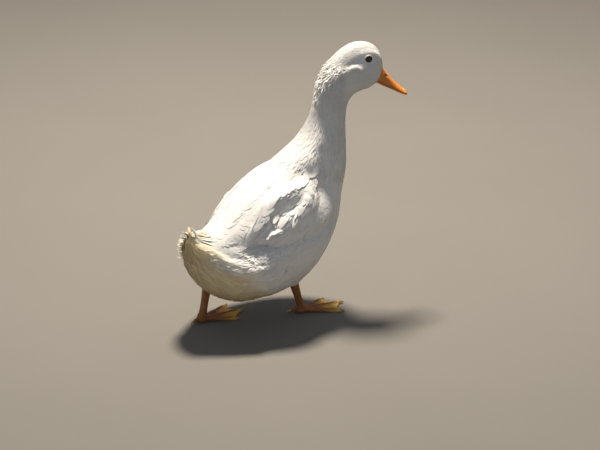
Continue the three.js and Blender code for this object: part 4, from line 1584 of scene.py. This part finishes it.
class DUCK_OT_bill(bpy.types.Operator):
    """Makes the bill's upper and lower halves and its nail as smooth shells"""

    bl_idname = "duck.bill"
    bl_label = "Bill"

    def execute(self, context):
        orange = material_of("Orange bill horn", bill_horn, context.scene.duck_colours)
        nail = material_of("Bill nail horn", nail_horn, "#F0C27A", "#D99A4E", 160.0)
        for node, voxel, material, slot in (
            ("bill_upper", 0.6 * MM, orange, "bill"),
            ("bill_lower", 0.6 * MM, orange, "bill"),
            ("bill_nail", 0.35 * MM, nail, "nail"),
        ):
            ob = grown_shell(node + "_horn", [node], 0.05 * MM, voxel, 4)
            co = points(ob.data)
            nostril = nostril_at(co) if node == "bill_upper" else np.zeros(len(co))
            normal = vertex_normals(co, triangles(ob.data))
            set_points(ob.data, co - normal * NOSTRIL_DEPTH * nostril[:, None])
            # The nostril mask also tells the bill's material where to paint the pits' shade.
            store(ob.data, "nostril", nostril)
            ob.data.materials.append(material)
            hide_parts(node)
            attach(ob, "root")
        return {"FINISHED"}


class DUCK_OT_claws(bpy.types.Operator):
    """Gives the claws their horn"""

    bl_idname = "duck.claws"
    bl_label = "Claws"

    def execute(self, context):
        horn = material_of("Claw horn", nail_horn, "#C9A67C", "#8A6A48", 300.0)
        for side in SIDES:
            for toe in TOES:
                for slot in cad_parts[f"claw_{side}_{toe}"].material_slots:
                    slot.material = horn
        return {"FINISHED"}


# ---------------------------------------------------------------- the studio


# Each light's name, place, width, power and colour.
LIGHTS = (
    ("key_light", (0.41, 0.70, 2.61), 0.45, 145, "#FFF3E4"),
    ("fill_light", (-1.6, -2.2, 1.4), 2.2, 3, "#EAF0FF"),
)


class DUCK_OT_studio(bpy.types.Operator):
    """Sets the pale floor, the soft lights and the camera"""

    bl_idname = "duck.studio"
    bl_label = "Studio"

    def execute(self, context):
        scene, studio = context.scene, context.scene.duck_studio
        deselect()
        bpy.ops.mesh.primitive_circle_add(vertices=96, radius=14, fill_type="NGON", location=(0, 0, 0))
        floor = context.object
        floor.name = floor.data.name = "floor"
        floor.data.materials.append(material_of("Matt studio board", painted_board, scene.duck_colours))

        scene.world = bpy.data.worlds.new("Studio light")
        scene.world.use_nodes = True
        tree = scene.world.node_tree
        tree.nodes.clear()
        sky = add(tree, "ShaderNodeBackground", {"Color": linear("#DDE6F2"), "Strength": 0.30})
        add(tree, "ShaderNodeOutputWorld", {"Surface": sky})

        aim = Vector(studio.aim)
        for name, place, size, power, colour in LIGHTS:
            bpy.ops.object.light_add(type="AREA", location=place)
            light = context.object
            light.name = light.data.name = name
            light.data.shape = "DISK"
            light.data.size = size
            light.data.energy = power
            light.data.color = linear(colour)[:3]
            light.rotation_euler = (aim - Vector(place)).to_track_quat("-Z", "Y").to_euler()

        a, e = studio.azimuth, studio.elevation
        back = Vector((math.sin(a) * math.cos(e), -math.cos(a) * math.cos(e), math.sin(e)))
        bpy.ops.object.camera_add(location=aim + back * studio.distance)
        camera = context.object
        camera.name = camera.data.name = "camera"
        camera.rotation_euler = (-back).to_track_quat("-Z", "Y").to_euler()
        camera.data.lens = studio.lens
        camera.data.sensor_width = 36
        camera.data.clip_end = 60
        scene.camera = camera
        scene.view_settings.view_transform = "Standard"
        return {"FINISHED"}


class DUCK_PT_panel(bpy.types.Panel):
    """Lists the duck's pieces and their sizes and colours"""

    bl_idname = "DUCK_PT_panel"
    bl_label = "White duck"
    bl_space_type = "VIEW_3D"
    bl_region_type = "UI"
    bl_category = "Duck"

    def draw(self, context):
        for group in GROUPS:
            box = self.layout.box()
            settings = getattr(context.scene, group)
            for key in settings.__annotations__:
                box.prop(settings, key)
        for operator in OPERATORS:
            self.layout.operator(operator.bl_idname)


GROUPS = {"duck_coat": DuckCoat, "duck_colours": DuckColours, "duck_studio": DuckStudio}
OPERATORS = (
    DUCK_OT_skin,
    DUCK_OT_head_coat,
    DUCK_OT_neck_coat,
    DUCK_OT_body_coat,
    DUCK_OT_wing_coat,
    DUCK_OT_tail_coat,
    DUCK_OT_eyes,
    DUCK_OT_bill,
    DUCK_OT_claws,
    DUCK_OT_studio,
)


def register():
    for cls in (*GROUPS.values(), *OPERATORS, DUCK_PT_panel):
        bpy.utils.register_class(cls)
    for name, group in GROUPS.items():
        setattr(bpy.types.Scene, name, bpy.props.PointerProperty(type=group))


def unregister():
    for name in GROUPS:
        delattr(bpy.types.Scene, name)
    for cls in reversed((*GROUPS.values(), *OPERATORS, DUCK_PT_panel)):
        bpy.utils.unregister_class(cls)


def main():
    register()
    for operator in OPERATORS:
        family, name = operator.bl_idname.split(".")
        getattr(getattr(bpy.ops, family), name)()


if __name__ == "__main__":
    main()
